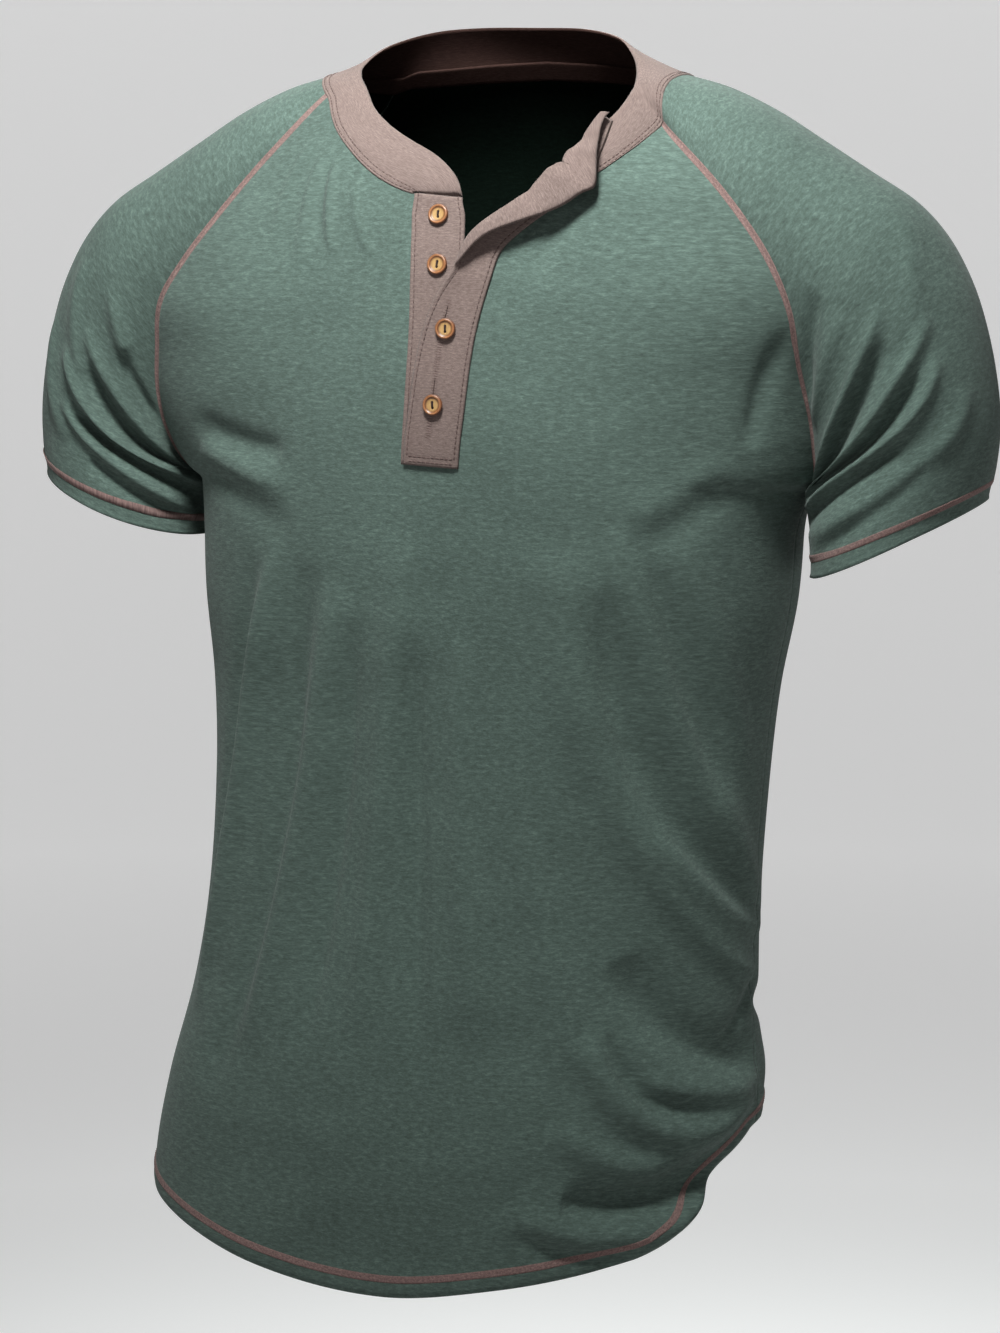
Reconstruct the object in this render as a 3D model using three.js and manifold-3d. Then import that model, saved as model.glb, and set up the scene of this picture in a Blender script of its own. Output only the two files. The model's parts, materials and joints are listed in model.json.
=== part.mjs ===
// Henley shirt, worn and hollow: raglan short sleeves, band collar, half-open button placket.
// Millimetres. +X is the wearer's left, -Y the front, +Z up. The origin is midway between the
// two high shoulder points, where the neck seam crosses the top of the shoulders.
import * as THREE from 'three';
import { mergeVertices } from 'three/addons/utils/BufferGeometryUtils.js';
import Module from 'manifold-3d';

const wasm = await Module();
wasm.setup();

// Cloth, in thickness and in the gap left at every seam
const jerseyWall = 1.5;
const bandWall = 2;
const tapeWall = 0.8;
const seamGap = 0.3;

// Band collar, tape and placket
const collarRows = 3;
const tapeTop = 1.5;
const tapeHeight = 12;
const tapeInset = 0.5;
const placketWidth = 31;
const placketBottom = -211;
const placketLap = 3;
const placketColumns = 3;

// Buttons
const buttonRadius = 6;
const buttonThickness = 2.6;
const buttonHoleRadius = 0.9;
const buttonHoleSpacing = 3;
const buttonSides = 20;
const holeSides = 8;
const buttonGap = 0.5;

// Grid sizes: rows from hem to armpit, rows from armpit to neck, and columns of each piece
const skirtRows = 23;
const yokeRows = 14;
const slitRow = 2;
const rightFrontColumns = 15;
const leftFrontColumns = 18;
const backColumns = 24;
const sleeveColumns = 22;
const cuffRows = 4;

const degrees = Math.PI / 180;

// Points closer than this are one point, and an angle found by repeating is close enough after
// this many passes
const mergeDistance = 0.01;
const weldTolerance = 1e-4;
const passes = 8;

// Where two rims meet, the wall is drawn back by no more than twice the half gap
const sharpestCorner = 0.5;

// Rows of named columns
function table(columns, rows) {
  return rows.map((row) => Object.fromEntries(columns.map((name, i) => [name, row[i]])));
}

// Every column's value at a key, on a smooth curve through the rows
function read(rows, key, at) {
  const last = rows.length - 1;
  const t = Math.min(Math.max(at, rows[0][key]), rows[last][key]);
  let i = 0;
  while (i < last - 1 && rows[i + 1][key] < t) i += 1;
  const slope = (k, name) => {
    const before = rows[Math.max(k - 1, 0)];
    const after = rows[Math.min(k + 1, last)];
    return (after[name] - before[name]) / (after[key] - before[key]);
  };
  const span = rows[i + 1][key] - rows[i][key];
  const u = (t - rows[i][key]) / span;
  const values = {};
  for (const name of Object.keys(rows[i])) {
    const from = rows[i][name];
    const to = rows[i + 1][name];
    const bend = u * (1 - u);
    values[name] = from + (to - from) * u * u * (3 - 2 * u)
      + bend * span * ((1 - u) * slope(i, name) - u * slope(i + 1, name));
  }
  return values;
}

const mix = (from, to, t) => from + (to - from) * t;

// The worn body of the shirt in level sections: half width, depth to the front and to the back,
// the section's middle, and the squareness of its corners
const torso = table(
  ['z', 'side', 'front', 'back', 'shiftX', 'shiftY', 'power'],
  [
    [-780, 191, 116, 106, -38, 4, 2.1],
    [-652, 190, 115, 105, -34, 4, 2.1],
    [-600, 185, 113, 104, -29, 3, 2.1],
    [-540, 175, 108, 102, -22, 3, 2.1],
    [-480, 170, 104, 98, -16, 2, 2.15],
    [-407, 170, 103, 96, -10, 0, 2.2],
    [-354, 173, 107, 99, -7, 0, 2.25],
    [-301, 180, 113, 104, -4, 0, 2.3],
    [-240, 181.5, 118, 110, -2, 0, 2.35],
    [-180, 184, 118, 115, 0, 0, 2.35],
    [-120, 183, 111, 116, 0, 0, 2.3],
    [-80, 178, 101, 112, 0, 0, 2.2],
    [-50, 166, 90, 104, 0, 0, 2.1],
    [-25, 142, 77, 92, 0, 0, 2],
    [0, 109, 58, 74, 0, 0, 2],
    [20, 90, 44, 60, 0, 0, 2],
    [50, 78, 40, 52, 0, 4, 2],
  ],
);

// Raglan sleeve in slanted sections from the neck (0) over the armpit (10) to past the hem (13).
// The ridge is a section's highest or outermost point. The tilts turn its middle line from upright
// to outward, at the back and at the front on the wearer's right and left. Drop is the reach along
// that line from the ridge to the middle, under is the reach past it. The angles of the seams to
// the front panel, right and left, and to the back are counted from the ridge.
const sleeveSections = table(
  [
    'row', 'ridgeX', 'ridgeZ', 'tiltBack', 'tiltRight', 'tiltLeft', 'middleY', 'drop', 'under',
    'front', 'back', 'seamRight', 'seamLeft', 'seamBack',
  ],
  [
    [0, 109, 0, 86, 50, -6, 3, 24, 24, 48, 45, 75, 100, 86],
    [1, 134, -7, 48, 36, 12, 3, 34, 34, 57, 58, 88, 91, 88],
    [2, 162, -20, 41, 32, 26, 3, 43, 43, 63, 66, 94, 87, 95],
    [3, 190, -37, 39, 33, 32, 3, 51, 51, 66, 70, 96, 88, 104],
    [4, 219, -55, 41, 36, 35, 3, 56, 56, 67, 72, 101, 97, 114],
    [5, 246, -72, 43, 39, 39, 3, 59, 59, 67, 72, 110, 114, 123],
    [6, 265, -92, 46, 43, 43, 3, 61, 61, 66, 71, 122, 133, 131],
    [7, 279, -117, 49, 47, 47, 3, 61, 61, 65, 69, 132, 146, 138],
    [8, 288, -143, 53, 52, 52, 3, 61, 60, 64, 67, 142, 153, 146],
    [9, 294, -170, 59, 58, 58, 3, 60, 59, 63, 65, 158, 162, 158],
    [10, 297, -197, 68, 68, 68, 3, 60, 59, 63, 64, 180, 180, 180],
    [11, 295, -221, 68.5, 68.5, 68.5, 2, 57, 56, 64, 65, 180, 180, 180],
    [12, 290, -245, 67.5, 67.5, 67.5, 0, 54, 53, 65, 66, 180, 180, 180],
    [13, 285, -269, 66, 66, 66, -2, 52, 51, 65, 66, 180, 180, 180],
  ],
);
const armpitSection = 10;
const hemSectionRight = 11.6;
const hemSectionLeft = 12.3;

// Height of the neck seam by the angle from the front, towards the wearer's left
const neckline = table(
  ['angle', 'z'],
  [
    [-180, 8],
    [-150, 6],
    [-118, 2],
    [-85, 0],
    [-65, -11],
    [-45, -36],
    [-27, -57],
    [-12, -67],
    [10, -71],
    [30, -70],
    [43, -60],
    [58, -41],
    [71, -24],
    [90, 0],
    [118, 2],
    [150, 6],
    [180, 8],
  ],
);

// Height of the hem edge by the same angle: low at front and back, raised at the side seams
const hemline = table(
  ['angle', 'z'],
  [
    [-180, -706],
    [-150, -700],
    [-120, -672],
    [-90, -656],
    [-72, -671],
    [-40, -696],
    [0, -707],
    [33, -699],
    [55, -686],
    [66, -672],
    [78, -636],
    [92, -610],
    [106, -608],
    [128, -648],
    [152, -692],
    [180, -706],
  ],
);

// Sewn edges of the slit by height: where the button stand and the buttonhole strip join the front
const slitEdges = table(
  ['z', 'standX', 'stripX'],
  [
    [-800, -18, 13],
    [-226, -18, 13],
    [-187, -16, 17],
    [-147, -14.5, 22],
    [-113, -15.5, 30],
    [-98, -16.5, 35],
    [-85, -17.5, 48],
    [-72, -19, 65],
    [-60, -20, 79],
    [-30, -20, 92],
  ],
);

// Folds of the body by angle and height: a soft ridge (or a trough where the height is negative)
// along a curve from one end through a middle point to the other end
const bodyFolds = table(
  ['fromAngle', 'fromZ', 'midAngle', 'midZ', 'toAngle', 'toZ', 'width', 'height'],
  [
    [-44, -270, -59, -405, -70, -560, 11, 3],
    [-36, -280, -48, -430, -58, -600, 13, -3],
    [-28, -290, -41, -430, -50, -570, 15, 3],
    [-8, -260, -15, -420, -15, -560, 17, 3],
    [34, -270, 53, -410, 92, -516, 16, 5],
    [45, -290, 61, -412, 94, -508, 12, -5],
    [47, -255, 63, -370, 96, -496, 11, 4],
    [56, -505, 71, -556, 94, -568, 14, -7],
    [48, -550, 63, -606, 92, -592, 14, 7],
    [44, -646, 67, -641, 96, -597, 13, -12],
    [34, -650, 61, -664, 92, -608, 13, 9],
    [122, -300, 128, -430, 118, -560, 20, 5],
    [146, -330, 150, -450, 144, -590, 18, -4],
    [168, -280, 170, -420, 166, -560, 18, 3],
    [-168, -300, -165, -430, -160, -600, 17, -3],
    [-140, -290, -144, -420, -136, -580, 18, 4],
    [-112, -320, -118, -450, -108, -560, 18, -3],
    [130, -520, 112, -570, 92, -578, 16, 7],
    [136, -600, 116, -622, 94, -600, 13, -9],
  ],
);

// Folds of the sleeves by angle from the ridge and section row, side 1 for the wearer's left
const sleeveFolds = table(
  ['side', 'fromAngle', 'fromRow', 'midAngle', 'midRow', 'toAngle', 'toRow', 'width', 'height'],
  [
    [1, 158, 9.6, 112, 7.9, 66, 6.7, 10.5, 4],
    [1, 158, 9.9, 104, 8.4, 72, 7.5, 9.5, -3],
    [1, 160, 10.1, 92, 8.7, 40, 7.3, 10.5, 4],
    [1, 160, 10.3, 92, 9.1, 58, 8.3, 9.5, -3],
    [1, 165, 10.4, 84, 9.7, 44, 8.2, 10.5, 4],
    [1, 165, 10.8, 98, 10.3, 72, 10, 9.5, -3],
    [1, 130, 11.6, 60, 10.7, 28, 9, 11.5, 3],
    [1, -145, 9, -100, 8.2, -50, 7.4, 11, 4],
    [1, -140, 10.2, -100, 9.5, -60, 9, 11, 4],
    [-1, 150, 8, 112, 6.8, 78, 5.7, 10.5, 3],
    [-1, 155, 7.9, 132, 7.3, 108, 6.5, 9.5, -4],
    [-1, 160, 9.9, 108, 8.4, 70, 7.4, 10.5, 4],
    [-1, 165, 10.1, 112, 9, 90, 8.4, 9.5, -4],
    [-1, 165, 10.3, 98, 9.2, 60, 8, 10.5, 4],
    [-1, 170, 10.8, 104, 9.9, 84, 9.4, 9.5, -3],
    [-1, 160, 11, 104, 10.4, 66, 9.2, 10.5, 3],
    [-1, -145, 8.9, -105, 8.1, -55, 7.3, 11, 4],
    [-1, -140, 10, -100, 9.4, -55, 8.8, 11, 4],
  ],
);

// Average radii that turn an angle and a section row into distances for the folds
const bodyFoldRadius = 145;
const sleeveFoldRadius = 62;
const sleeveFoldStep = 22;
const foldSteps = 10;

// A fold's curve as points, across measured from the angle of its middle
function foldCurve(fold, radius, from, mid, to) {
  const ends = [fold.fromAngle, fold.toAngle].map((angle) => (angle - fold.midAngle) * degrees * radius);
  const start = new THREE.Vector2(ends[0], from);
  const end = new THREE.Vector2(ends[1], to);
  const pull = new THREE.Vector2(0, mid * 2).sub(start.clone().add(end).multiplyScalar(0.5));
  const points = new THREE.QuadraticBezierCurve(start, pull, end).getPoints(foldSteps);
  return { ...fold, middle: fold.midAngle * degrees, radius, points };
}

const bodyFoldCurves = bodyFolds.map((fold) => (
  foldCurve(fold, bodyFoldRadius, fold.fromZ, fold.midZ, fold.toZ)
));
const sleeveFoldCurves = sleeveFolds.map((fold) => foldCurve(
  fold,
  sleeveFoldRadius,
  fold.fromRow * sleeveFoldStep,
  fold.midRow * sleeveFoldStep,
  fold.toRow * sleeveFoldStep,
));

// Height of the folds at an angle and a distance along: each fades away from its curve as a bell
// does, and towards both of its ends
function foldHeight(curves, angle, along) {
  let height = 0;
  for (const { points, middle, radius, width, height: top } of curves) {
    const place = new THREE.Vector2(fromFront(angle - middle) * radius, along);
    let nearest = Infinity;
    let share = 0;
    for (let k = 0; k < foldSteps; k += 1) {
      const run = points[k + 1].clone().sub(points[k]);
      const offset = place.clone().sub(points[k]);
      const t = Math.min(Math.max(offset.dot(run) / run.lengthSq(), 0), 1);
      const away = offset.addScaledVector(run, -t).length();
      if (away < nearest) {
        nearest = away;
        share = (k + t) / foldSteps;
      }
    }
    const taper = 1 - (2 * share - 1) ** 4;
    height += top * taper * Math.exp(-((nearest / width) ** 2));
  }
  return height;
}

// Angle folded into the range from -180 to 180 degrees
function fromFront(angle) {
  return Math.atan2(Math.sin(angle), Math.cos(angle));
}

// Reach of the body cloth from the section's middle at an angle and height
function bodyRadius(angle, z) {
  const section = read(torso, 'z', z);
  const depth = Math.cos(angle) > 0 ? section.front : section.back;
  const across = Math.abs(Math.sin(angle)) / section.side;
  const through = Math.abs(Math.cos(angle)) / depth;
  const smooth = (across ** section.power + through ** section.power) ** (-1 / section.power);
  return smooth + foldHeight(bodyFoldCurves, angle, z);
}

// Point at an angle, height and reach from the body's middle
function bodyPoint(angle, z, radius) {
  const section = read(torso, 'z', z);
  const x = section.shiftX + radius * Math.sin(angle);
  const y = section.shiftY - radius * Math.cos(angle);
  return new THREE.Vector3(x, y, z);
}

// Angle and reach of a point from the body's middle
function bodyPlace(point) {
  const section = read(torso, 'z', point.z);
  const x = point.x - section.shiftX;
  const y = point.y - section.shiftY;
  return { angle: Math.atan2(x, -y), radius: Math.hypot(x, y) };
}

// Angle at which the front reaches a given X at a given height
function angleAtX(x, z) {
  const section = read(torso, 'z', z);
  let angle = 0;
  for (let turn = 0; turn < passes; turn += 1) {
    angle = Math.asin((x - section.shiftX) / bodyRadius(angle, z));
  }
  return angle;
}

// Point of a sleeve at a section row and an angle from its ridge, side 1 for the wearer's left
function sleevePoint(side, row, angle) {
  const section = read(sleeveSections, 'row', row);
  const lean = (1 + Math.sin(Math.min(Math.max(angle, -Math.PI / 2), Math.PI / 2))) / 2;
  const tiltFront = side > 0 ? section.tiltLeft : section.tiltRight;
  const tilt = mix(section.tiltBack, tiltFront, lean) * degrees;
  const curves = sleeveFoldCurves.filter((curve) => curve.side === side);
  const fold = foldHeight(curves, angle, row * sleeveFoldStep);
  const outward = (Math.cos(angle) > 0 ? section.drop : section.under) + fold;
  const sideways = (angle > 0 ? section.front : section.back) + fold;
  const alongLine = Math.cos(angle) * outward - section.drop;
  return new THREE.Vector3(
    side * (section.ridgeX + alongLine * Math.sin(tilt)),
    section.middleY - Math.sin(angle) * sideways,
    section.ridgeZ + alongLine * Math.cos(tilt),
  );
}

// Grid of a sleeve's outer points: rows from the neck to the hem, columns from the back seam
// over the ridge to the front seam, which meet under the arm
function sleeveGrid(side) {
  const grid = [];
  for (let i = 0; i <= yokeRows + cuffRows; i += 1) {
    const above = i <= yokeRows;
    const past = (i - yokeRows) / cuffRows;
    const hemSection = side > 0 ? hemSectionLeft : hemSectionRight;
    const row = above ? (armpitSection * i) / yokeRows : mix(armpitSection, hemSection, past);
    const section = read(sleeveSections, 'row', row);
    const from = -section.seamBack * degrees;
    const to = (side > 0 ? section.seamLeft : section.seamRight) * degrees;
    const line = [];
    for (let j = 0; j <= sleeveColumns; j += 1) {
      line.push(sleevePoint(side, row, mix(from, to, j / sleeveColumns)));
    }
    grid.push(line);
  }
  return grid;
}

// Heights of the neck seam and of the hem edge at an angle in radians
const necklineAt = (angle) => read(neckline, 'angle', fromFront(angle) / degrees).z;
const hemlineAt = (angle) => read(hemline, 'angle', fromFront(angle) / degrees).z;

// How far from a sleeve seam the panel flares out to it, and how the grid's rows run: they sag from
// the armpits to the middle, and are closer together near the hem
const seamReach = 90;
const armpitSag = 22;
const sagPower = 1.6;
const skirtBias = 0.8;

// Grid of a body panel's outer points, rows from the hem to the neck, columns towards +angle.
// Its upper ends are the sleeves' seam points, and the cloth flares out to meet them. The zones
// are the runs of columns between the ends and, on the front, the two sewn edges of the slit.
function panelGrid(middle, seams, zones) {
  const endsAt = (row) => seams.map((seam, i) => {
    const point = seam[yokeRows - Math.max(row, 0)];
    const place = bodyPlace(point);
    const sideTurn = (i * 2 - 1) * Math.PI / 2;
    const turn = row < 0 ? sideTurn : fromFront(place.angle - middle);
    return { turn, point, z: point.z, radius: place.radius };
  });
  const armpit = endsAt(0);
  const top = endsAt(yokeRows);
  const grid = [];
  for (let i = 0; i <= skirtRows + yokeRows; i += 1) {
    const row = i - skirtRows;
    const ends = endsAt(row);
    const heightAt = (turn) => {
      const end = turn < 0 ? 0 : 1;
      const share = Math.abs(turn / ends[end].turn);
      const armpitZ = mix(placketBottom - armpitSag, armpit[end].z, share ** sagPower);
      if (row < 0) {
        const rise = i / skirtRows;
        const eased = rise * (skirtBias + (1 - skirtBias) * rise);
        return mix(hemlineAt(middle + turn), armpitZ, eased);
      }
      const rise = (ends[end].z - armpit[end].z) / (top[end].z - armpit[end].z);
      return mix(armpitZ, necklineAt(middle + share * top[end].turn), rise);
    };
    const turnAtEdge = (edge) => {
      let turn = 0;
      for (let pass = 0; pass < passes; pass += 1) {
        turn = angleAtX(read(slitEdges, 'z', heightAt(turn))[edge], heightAt(turn));
      }
      return turn;
    };
    const edges = zones.length > 1 ? [turnAtEdge('standX'), turnAtEdge('stripX')] : [];
    const stops = [ends[0].turn, ...edges, ends[1].turn];
    const line = [];
    zones.forEach((columns, zone) => {
      for (let j = zone ? 1 : 0; j <= columns; j += 1) {
        const turn = mix(stops[zone], stops[zone + 1], j / columns);
        const z = heightAt(turn);
        const end = ends[turn < 0 ? 0 : 1];
        const flare = row < 0 ? 0 : end.radius - bodyRadius(middle + end.turn, end.z);
        const away = Math.abs(end.turn - turn) * bodyFoldRadius;
        const reach = Math.max(0, 1 - away / seamReach) ** 2;
        line.push(bodyPoint(middle + turn, z, bodyRadius(middle + turn, z) + flare * reach));
      }
    });
    if (row >= 0) {
      line[0] = ends[0].point.clone();
      line[line.length - 1] = ends[1].point.clone();
    }
    grid.push(line);
  }
  return grid;
}

// A piece of cloth is a list of cells, each of four outer points, counterclockwise from outside
function cellsOf(grid, flip = false, keep = () => true) {
  const cells = [];
  for (let i = 0; i + 1 < grid.length; i += 1) {
    for (let j = 0; j + 1 < grid[i].length; j += 1) {
      const cell = [grid[i][j], grid[i][j + 1], grid[i + 1][j + 1], grid[i + 1][j]];
      if (keep(i, j)) cells.push(flip ? cell.reverse() : cell);
    }
  }
  return cells;
}

// Outer points of a piece with shared points merged, its triangles and each point's direction.
// A cell is split along the diagonal on which the cloth bends less, so folds stay smooth.
function weld(cells) {
  const indexOf = new Map();
  const points = [];
  const idOf = (point) => {
    const key = point.toArray().map((value) => Math.round(value / mergeDistance)).join(' ');
    if (!indexOf.has(key)) {
      indexOf.set(key, points.length);
      points.push({ key, at: point, normal: new THREE.Vector3() });
    }
    return indexOf.get(key);
  };
  const corners = cells.map((cell) => cell.map(idOf));
  for (const [a, b, c, d] of corners) {
    const rise = points[d].at.clone().sub(points[b].at);
    const face = points[c].at.clone().sub(points[a].at).cross(rise);
    for (const i of new Set([a, b, c, d])) points[i].normal.add(face);
  }
  const agree = (i, k) => points[i].normal.clone().normalize().dot(points[k].normal.clone().normalize());
  const triangles = corners.flatMap(([a, b, c, d]) => {
    const straight = agree(a, c) >= agree(b, d);
    const pair = straight ? [[a, b, c], [a, c, d]] : [[a, b, d], [b, c, d]];
    return pair.filter((triangle) => new Set(triangle).size === 3);
  });
  return { points, triangles };
}

function faceNormal(points, [a, b, c]) {
  const edge = points[b].at.clone().sub(points[a].at);
  return edge.cross(points[c].at.clone().sub(points[a].at));
}

// Walls meet square at a seam when all the pieces sewn there share one direction
function shareSeams(pieces) {
  const shared = new Map();
  for (const piece of pieces) {
    for (const point of piece.points) {
      const sum = shared.get(point.key) ?? new THREE.Vector3();
      shared.set(point.key, sum.add(point.normal));
    }
  }
  for (const piece of pieces) {
    for (const point of piece.points) point.normal = shared.get(point.key).clone();
  }
}

// Closed wall inside a piece's outer points, drawn back from its edges by half a seam gap
function wallGeometry({ points, triangles }, thickness) {
  const edges = new Map();
  for (const triangle of triangles) {
    triangle.forEach((from, k) => edges.set(`${from} ${triangle[(k + 1) % 3]}`, [from, triangle]));
  }
  const inward = points.map(() => new THREE.Vector3());
  const rims = [];
  for (const [name, [from, triangle]] of edges) {
    const [, to] = name.split(' ').map(Number);
    if (!edges.has(`${to} ${from}`)) {
      const along = points[to].at.clone().sub(points[from].at);
      const into = faceNormal(points, triangle).cross(along).normalize();
      inward[from].add(into);
      inward[to].add(into);
      rims.push([from, to]);
    }
  }
  const normals = points.map((point) => point.normal.clone().normalize());
  const outer = points.map((point, i) => {
    const corner = Math.max(inward[i].length() / 2, sharpestCorner);
    const level = inward[i].clone().projectOnPlane(normals[i]);
    return point.at.clone().addScaledVector(level.normalize(), seamGap / 2 / corner);
  });
  const inner = outer.map((point, i) => point.clone().addScaledVector(normals[i], -thickness));
  const count = points.length;
  const faces = [
    ...triangles,
    ...triangles.map(([a, b, c]) => [c + count, b + count, a + count]),
    ...rims.flatMap(([a, b]) => [[b, a, a + count], [b, a + count, b + count]]),
  ];
  return meshGeometry([...outer, ...inner], faces);
}

function meshGeometry(points, faces) {
  const geometry = new THREE.BufferGeometry();
  geometry.setAttribute('position', new THREE.Float32BufferAttribute(points.flatMap((p) => p.toArray()), 3));
  geometry.setIndex(faces.flat());
  geometry.computeVertexNormals();
  return geometry;
}

// Grids of the sleeves and panels
const leftSleeve = sleeveGrid(1);
const rightSleeve = sleeveGrid(-1);
const edgeOf = (grid, column) => grid.map((line) => line.at(column));
const frontZones = [rightFrontColumns, placketColumns, leftFrontColumns];
const front = panelGrid(0, [edgeOf(rightSleeve, -1), edgeOf(leftSleeve, -1)], frontZones);
const back = panelGrid(Math.PI, [edgeOf(leftSleeve, 0), edgeOf(rightSleeve, 0)], [backColumns]);
const standColumn = rightFrontColumns;
const stripColumn = rightFrontColumns + placketColumns;
const slitBottom = skirtRows + slitRow;
const inSlit = (i, j) => i >= slitBottom && j >= standColumn && j < stripColumn;

// Upper edge of the collar band by the angle of the neck seam below it
const collarTop = table(
  ['angle', 'x', 'y', 'z'],
  [
    [43, 85, -62, -26],
    [55, 90, -51, -17],
    [70, 90, -33, -7],
    [90, 83, -8, 5],
    [112, 73, 10, 15],
    [135, 58, 29, 23],
    [158, 32, 45, 28],
    [180, 0, 51, 29],
    [205, -38, 51, 29],
    [228, -65, 42, 26],
    [248, -84, 22, 18],
    [270, -88, -5, 7],
    [285, -82, -24, 0],
    [295, -73, -38, -7],
    [305, -61, -54, -19],
    [316, -46, -66, -29],
    [328, -30, -75, -37],
    [338, -12, -84, -45],
    [344, 0, -91, -53],
    [347, 7, -95, -61],
    [349, 11, -98, -72],
  ],
);

// Outward swell of the collar band between its two edges
const bandCrown = 2;

// The neck seam from the buttonhole strip round the back to the button stand
function neckSeam() {
  const top = front.at(-1);
  return [
    ...top.slice(stripColumn),
    ...[...leftSleeve[0]].reverse().slice(1),
    ...back.at(-1).slice(1),
    ...rightSleeve[0].slice(1),
    ...top.slice(1, standColumn + 1),
  ];
}

function collarGrid() {
  const base = neckSeam();
  const turns = base.map((point) => (bodyPlace(point).angle / degrees + 360) % 360);
  const grid = [];
  for (let i = 0; i <= collarRows; i += 1) {
    const rise = i / collarRows;
    grid.push(base.map((point, j) => {
      const edge = read(collarTop, 'angle', turns[j]);
      const place = point.clone().lerp(new THREE.Vector3(edge.x, edge.y, edge.z), rise);
      const outward = new THREE.Vector3(Math.sin(turns[j] * degrees), -Math.cos(turns[j] * degrees), 0);
      return place.addScaledVector(outward, bandCrown * 4 * rise * (1 - rise));
    }));
  }
  return grid;
}

// Button stand: fills the slit from its sewn edge, level with the front, its other edge free
function standGrid(collar) {
  const bottom = front[slitBottom].slice(standColumn, stripColumn + 1);
  const grid = [bottom];
  for (let i = slitBottom + 1; i + 1 < front.length; i += 1) {
    const edge = front[i][standColumn];
    const line = [edge];
    for (let j = 1; j <= placketColumns; j += 1) {
      const angle = angleAtX(edge.x + (placketWidth * j) / placketColumns, edge.z);
      line.push(bodyPoint(angle, edge.z, bodyRadius(angle, edge.z)));
    }
    grid.push(line);
  }
  grid.push(collar.map((line) => line.at(-1)));
  return grid;
}

// Section of the buttonhole strip by the distance up its sewn edge. Reaches are counted from that
// edge towards the opening: to the roll line, and on to the free edge, which turns back beyond the
// roll and lies open like a lapel near the neck. Lifts are the height of both above the chest.
const stripSections = table(
  ['along', 'roll', 'edge', 'rollLift', 'edgeLift'],
  [
    [-3, 15.5, 31, 0, 0],
    [60, 15, 30, 0, 0.4],
    [95, 14, 27, 1.5, 3],
    [112, 15, 22, 6, 8],
    [122, 15, 13, 9, 11],
    [132, 12, 4, 9, 11],
    [150, 10, -4, 8, 9],
    [170, 13, -8, 7, 8],
    [190, 15, -7, 6, 7],
    [205, 10, -2, 5, 6],
    [220, 6, 0, 4, 5],
    [235, 4, 1, 3, 4],
  ],
);
const stripColumns = 8;
const stripClearance = 0.5;
const stripLift = stripClearance + bandWall;

// A section of the strip is a cubic curve. These are the weights of its free end and of its two
// inner points at its middle, and how high the inner points lie as shares of the roll line's lift.
const endWeight = 1 / 8;
const innerWeight = 3 / 4;
const lowShare = 1 / 3;
const highShare = 1.2;

function stripGrid(collar) {
  const sewn = front.slice(slitBottom - 1).map((line) => [line[stripColumn], line[stripColumn + 1]]);
  const chestLines = sewn.length;
  collar.slice(1).forEach((line) => sewn.push([line[0], line[1]]));
  const start = sewn[0][0].clone().sub(sewn[1][0]).setLength(placketLap);
  sewn[0] = sewn[1].map((point) => point.clone().add(start));
  let distance = -placketLap;
  return sewn.map(([point, beside], i) => {
    const before = sewn[Math.max(i - 1, 0)][0];
    const after = sewn[Math.min(i + 1, sewn.length - 1)][0];
    distance += i ? point.distanceTo(before) : 0;
    const section = read(stripSections, 'along', distance);
    const along = after.clone().sub(before).normalize();
    const right = beside.clone().sub(point).normalize();
    const outward = right.clone().cross(along).normalize();
    const towards = outward.clone().cross(along).normalize();
    const place = (reach, lift) => {
      const flat = point.clone().addScaledVector(towards, reach);
      const { angle } = bodyPlace(flat);
      const onChest = bodyPoint(angle, flat.z, bodyRadius(angle, flat.z));
      const base = i < chestLines ? onChest : flat;
      return base.addScaledVector(outward, stripLift + lift);
    };
    const pull = (section.roll - section.edge * endWeight) / innerWeight;
    const stops = [
      place(0, 0),
      place(pull, section.rollLift * lowShare),
      place(pull, section.rollLift * highShare),
      place(section.edge, section.edgeLift),
    ];
    const curve = new THREE.CubicBezierCurve3(...stops);
    const line = curve.getPoints(stripColumns).reverse();
    const lap = point.clone().addScaledVector(right, placketLap).addScaledVector(outward, stripLift);
    return [...line, lap];
  });
}

// Tape over the back neck seam, from shoulder to shoulder inside the cloth
function tapeGrid() {
  const ridge = Math.round(sleeveColumns / 2);
  const pick = (rows, from, to) => rows.map((line) => line.slice(from, to));
  const left = pick(leftSleeve.slice(0, 2), 0, ridge).map((line) => line.reverse());
  const middle = pick([back.at(-1), back.at(-2)], 1, backColumns);
  const right = pick(rightSleeve.slice(0, 2), 0, ridge);
  const seam = [...left[0], ...middle[0], ...right[0]];
  const below = [...left[1], ...middle[1], ...right[1]];
  const inset = jerseyWall + tapeInset;
  return [tapeHeight, tapeTop].map((depth) => seam.map((point, j) => {
    const before = seam[Math.max(j - 1, 0)];
    const after = seam[Math.min(j + 1, seam.length - 1)];
    const down = below[j].clone().sub(point).normalize();
    const outward = down.clone().cross(after.clone().sub(before)).normalize();
    return point.clone().addScaledVector(down, depth).addScaledVector(outward, -inset);
  }));
}

// Two-hole button: half its outline, out from the axis and up
const buttonOutline = [
  [0, 0],
  [0.85, 0],
  [1, 0.25],
  [1, 0.75],
  [0.93, 1],
  [0.78, 1],
  [0.64, 0.72],
  [0, 0.62],
];

// Height of each button and how far across its placket it lies, from the wearer's right
const buttonPlaces = table(
  ['z', 'onStrip', 'across'],
  [
    [-80, 0, 0.5],
    [-108, 0, 0.5],
    [-144, 1, 0.5],
    [-187, 1, 0.5],
  ],
);

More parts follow.
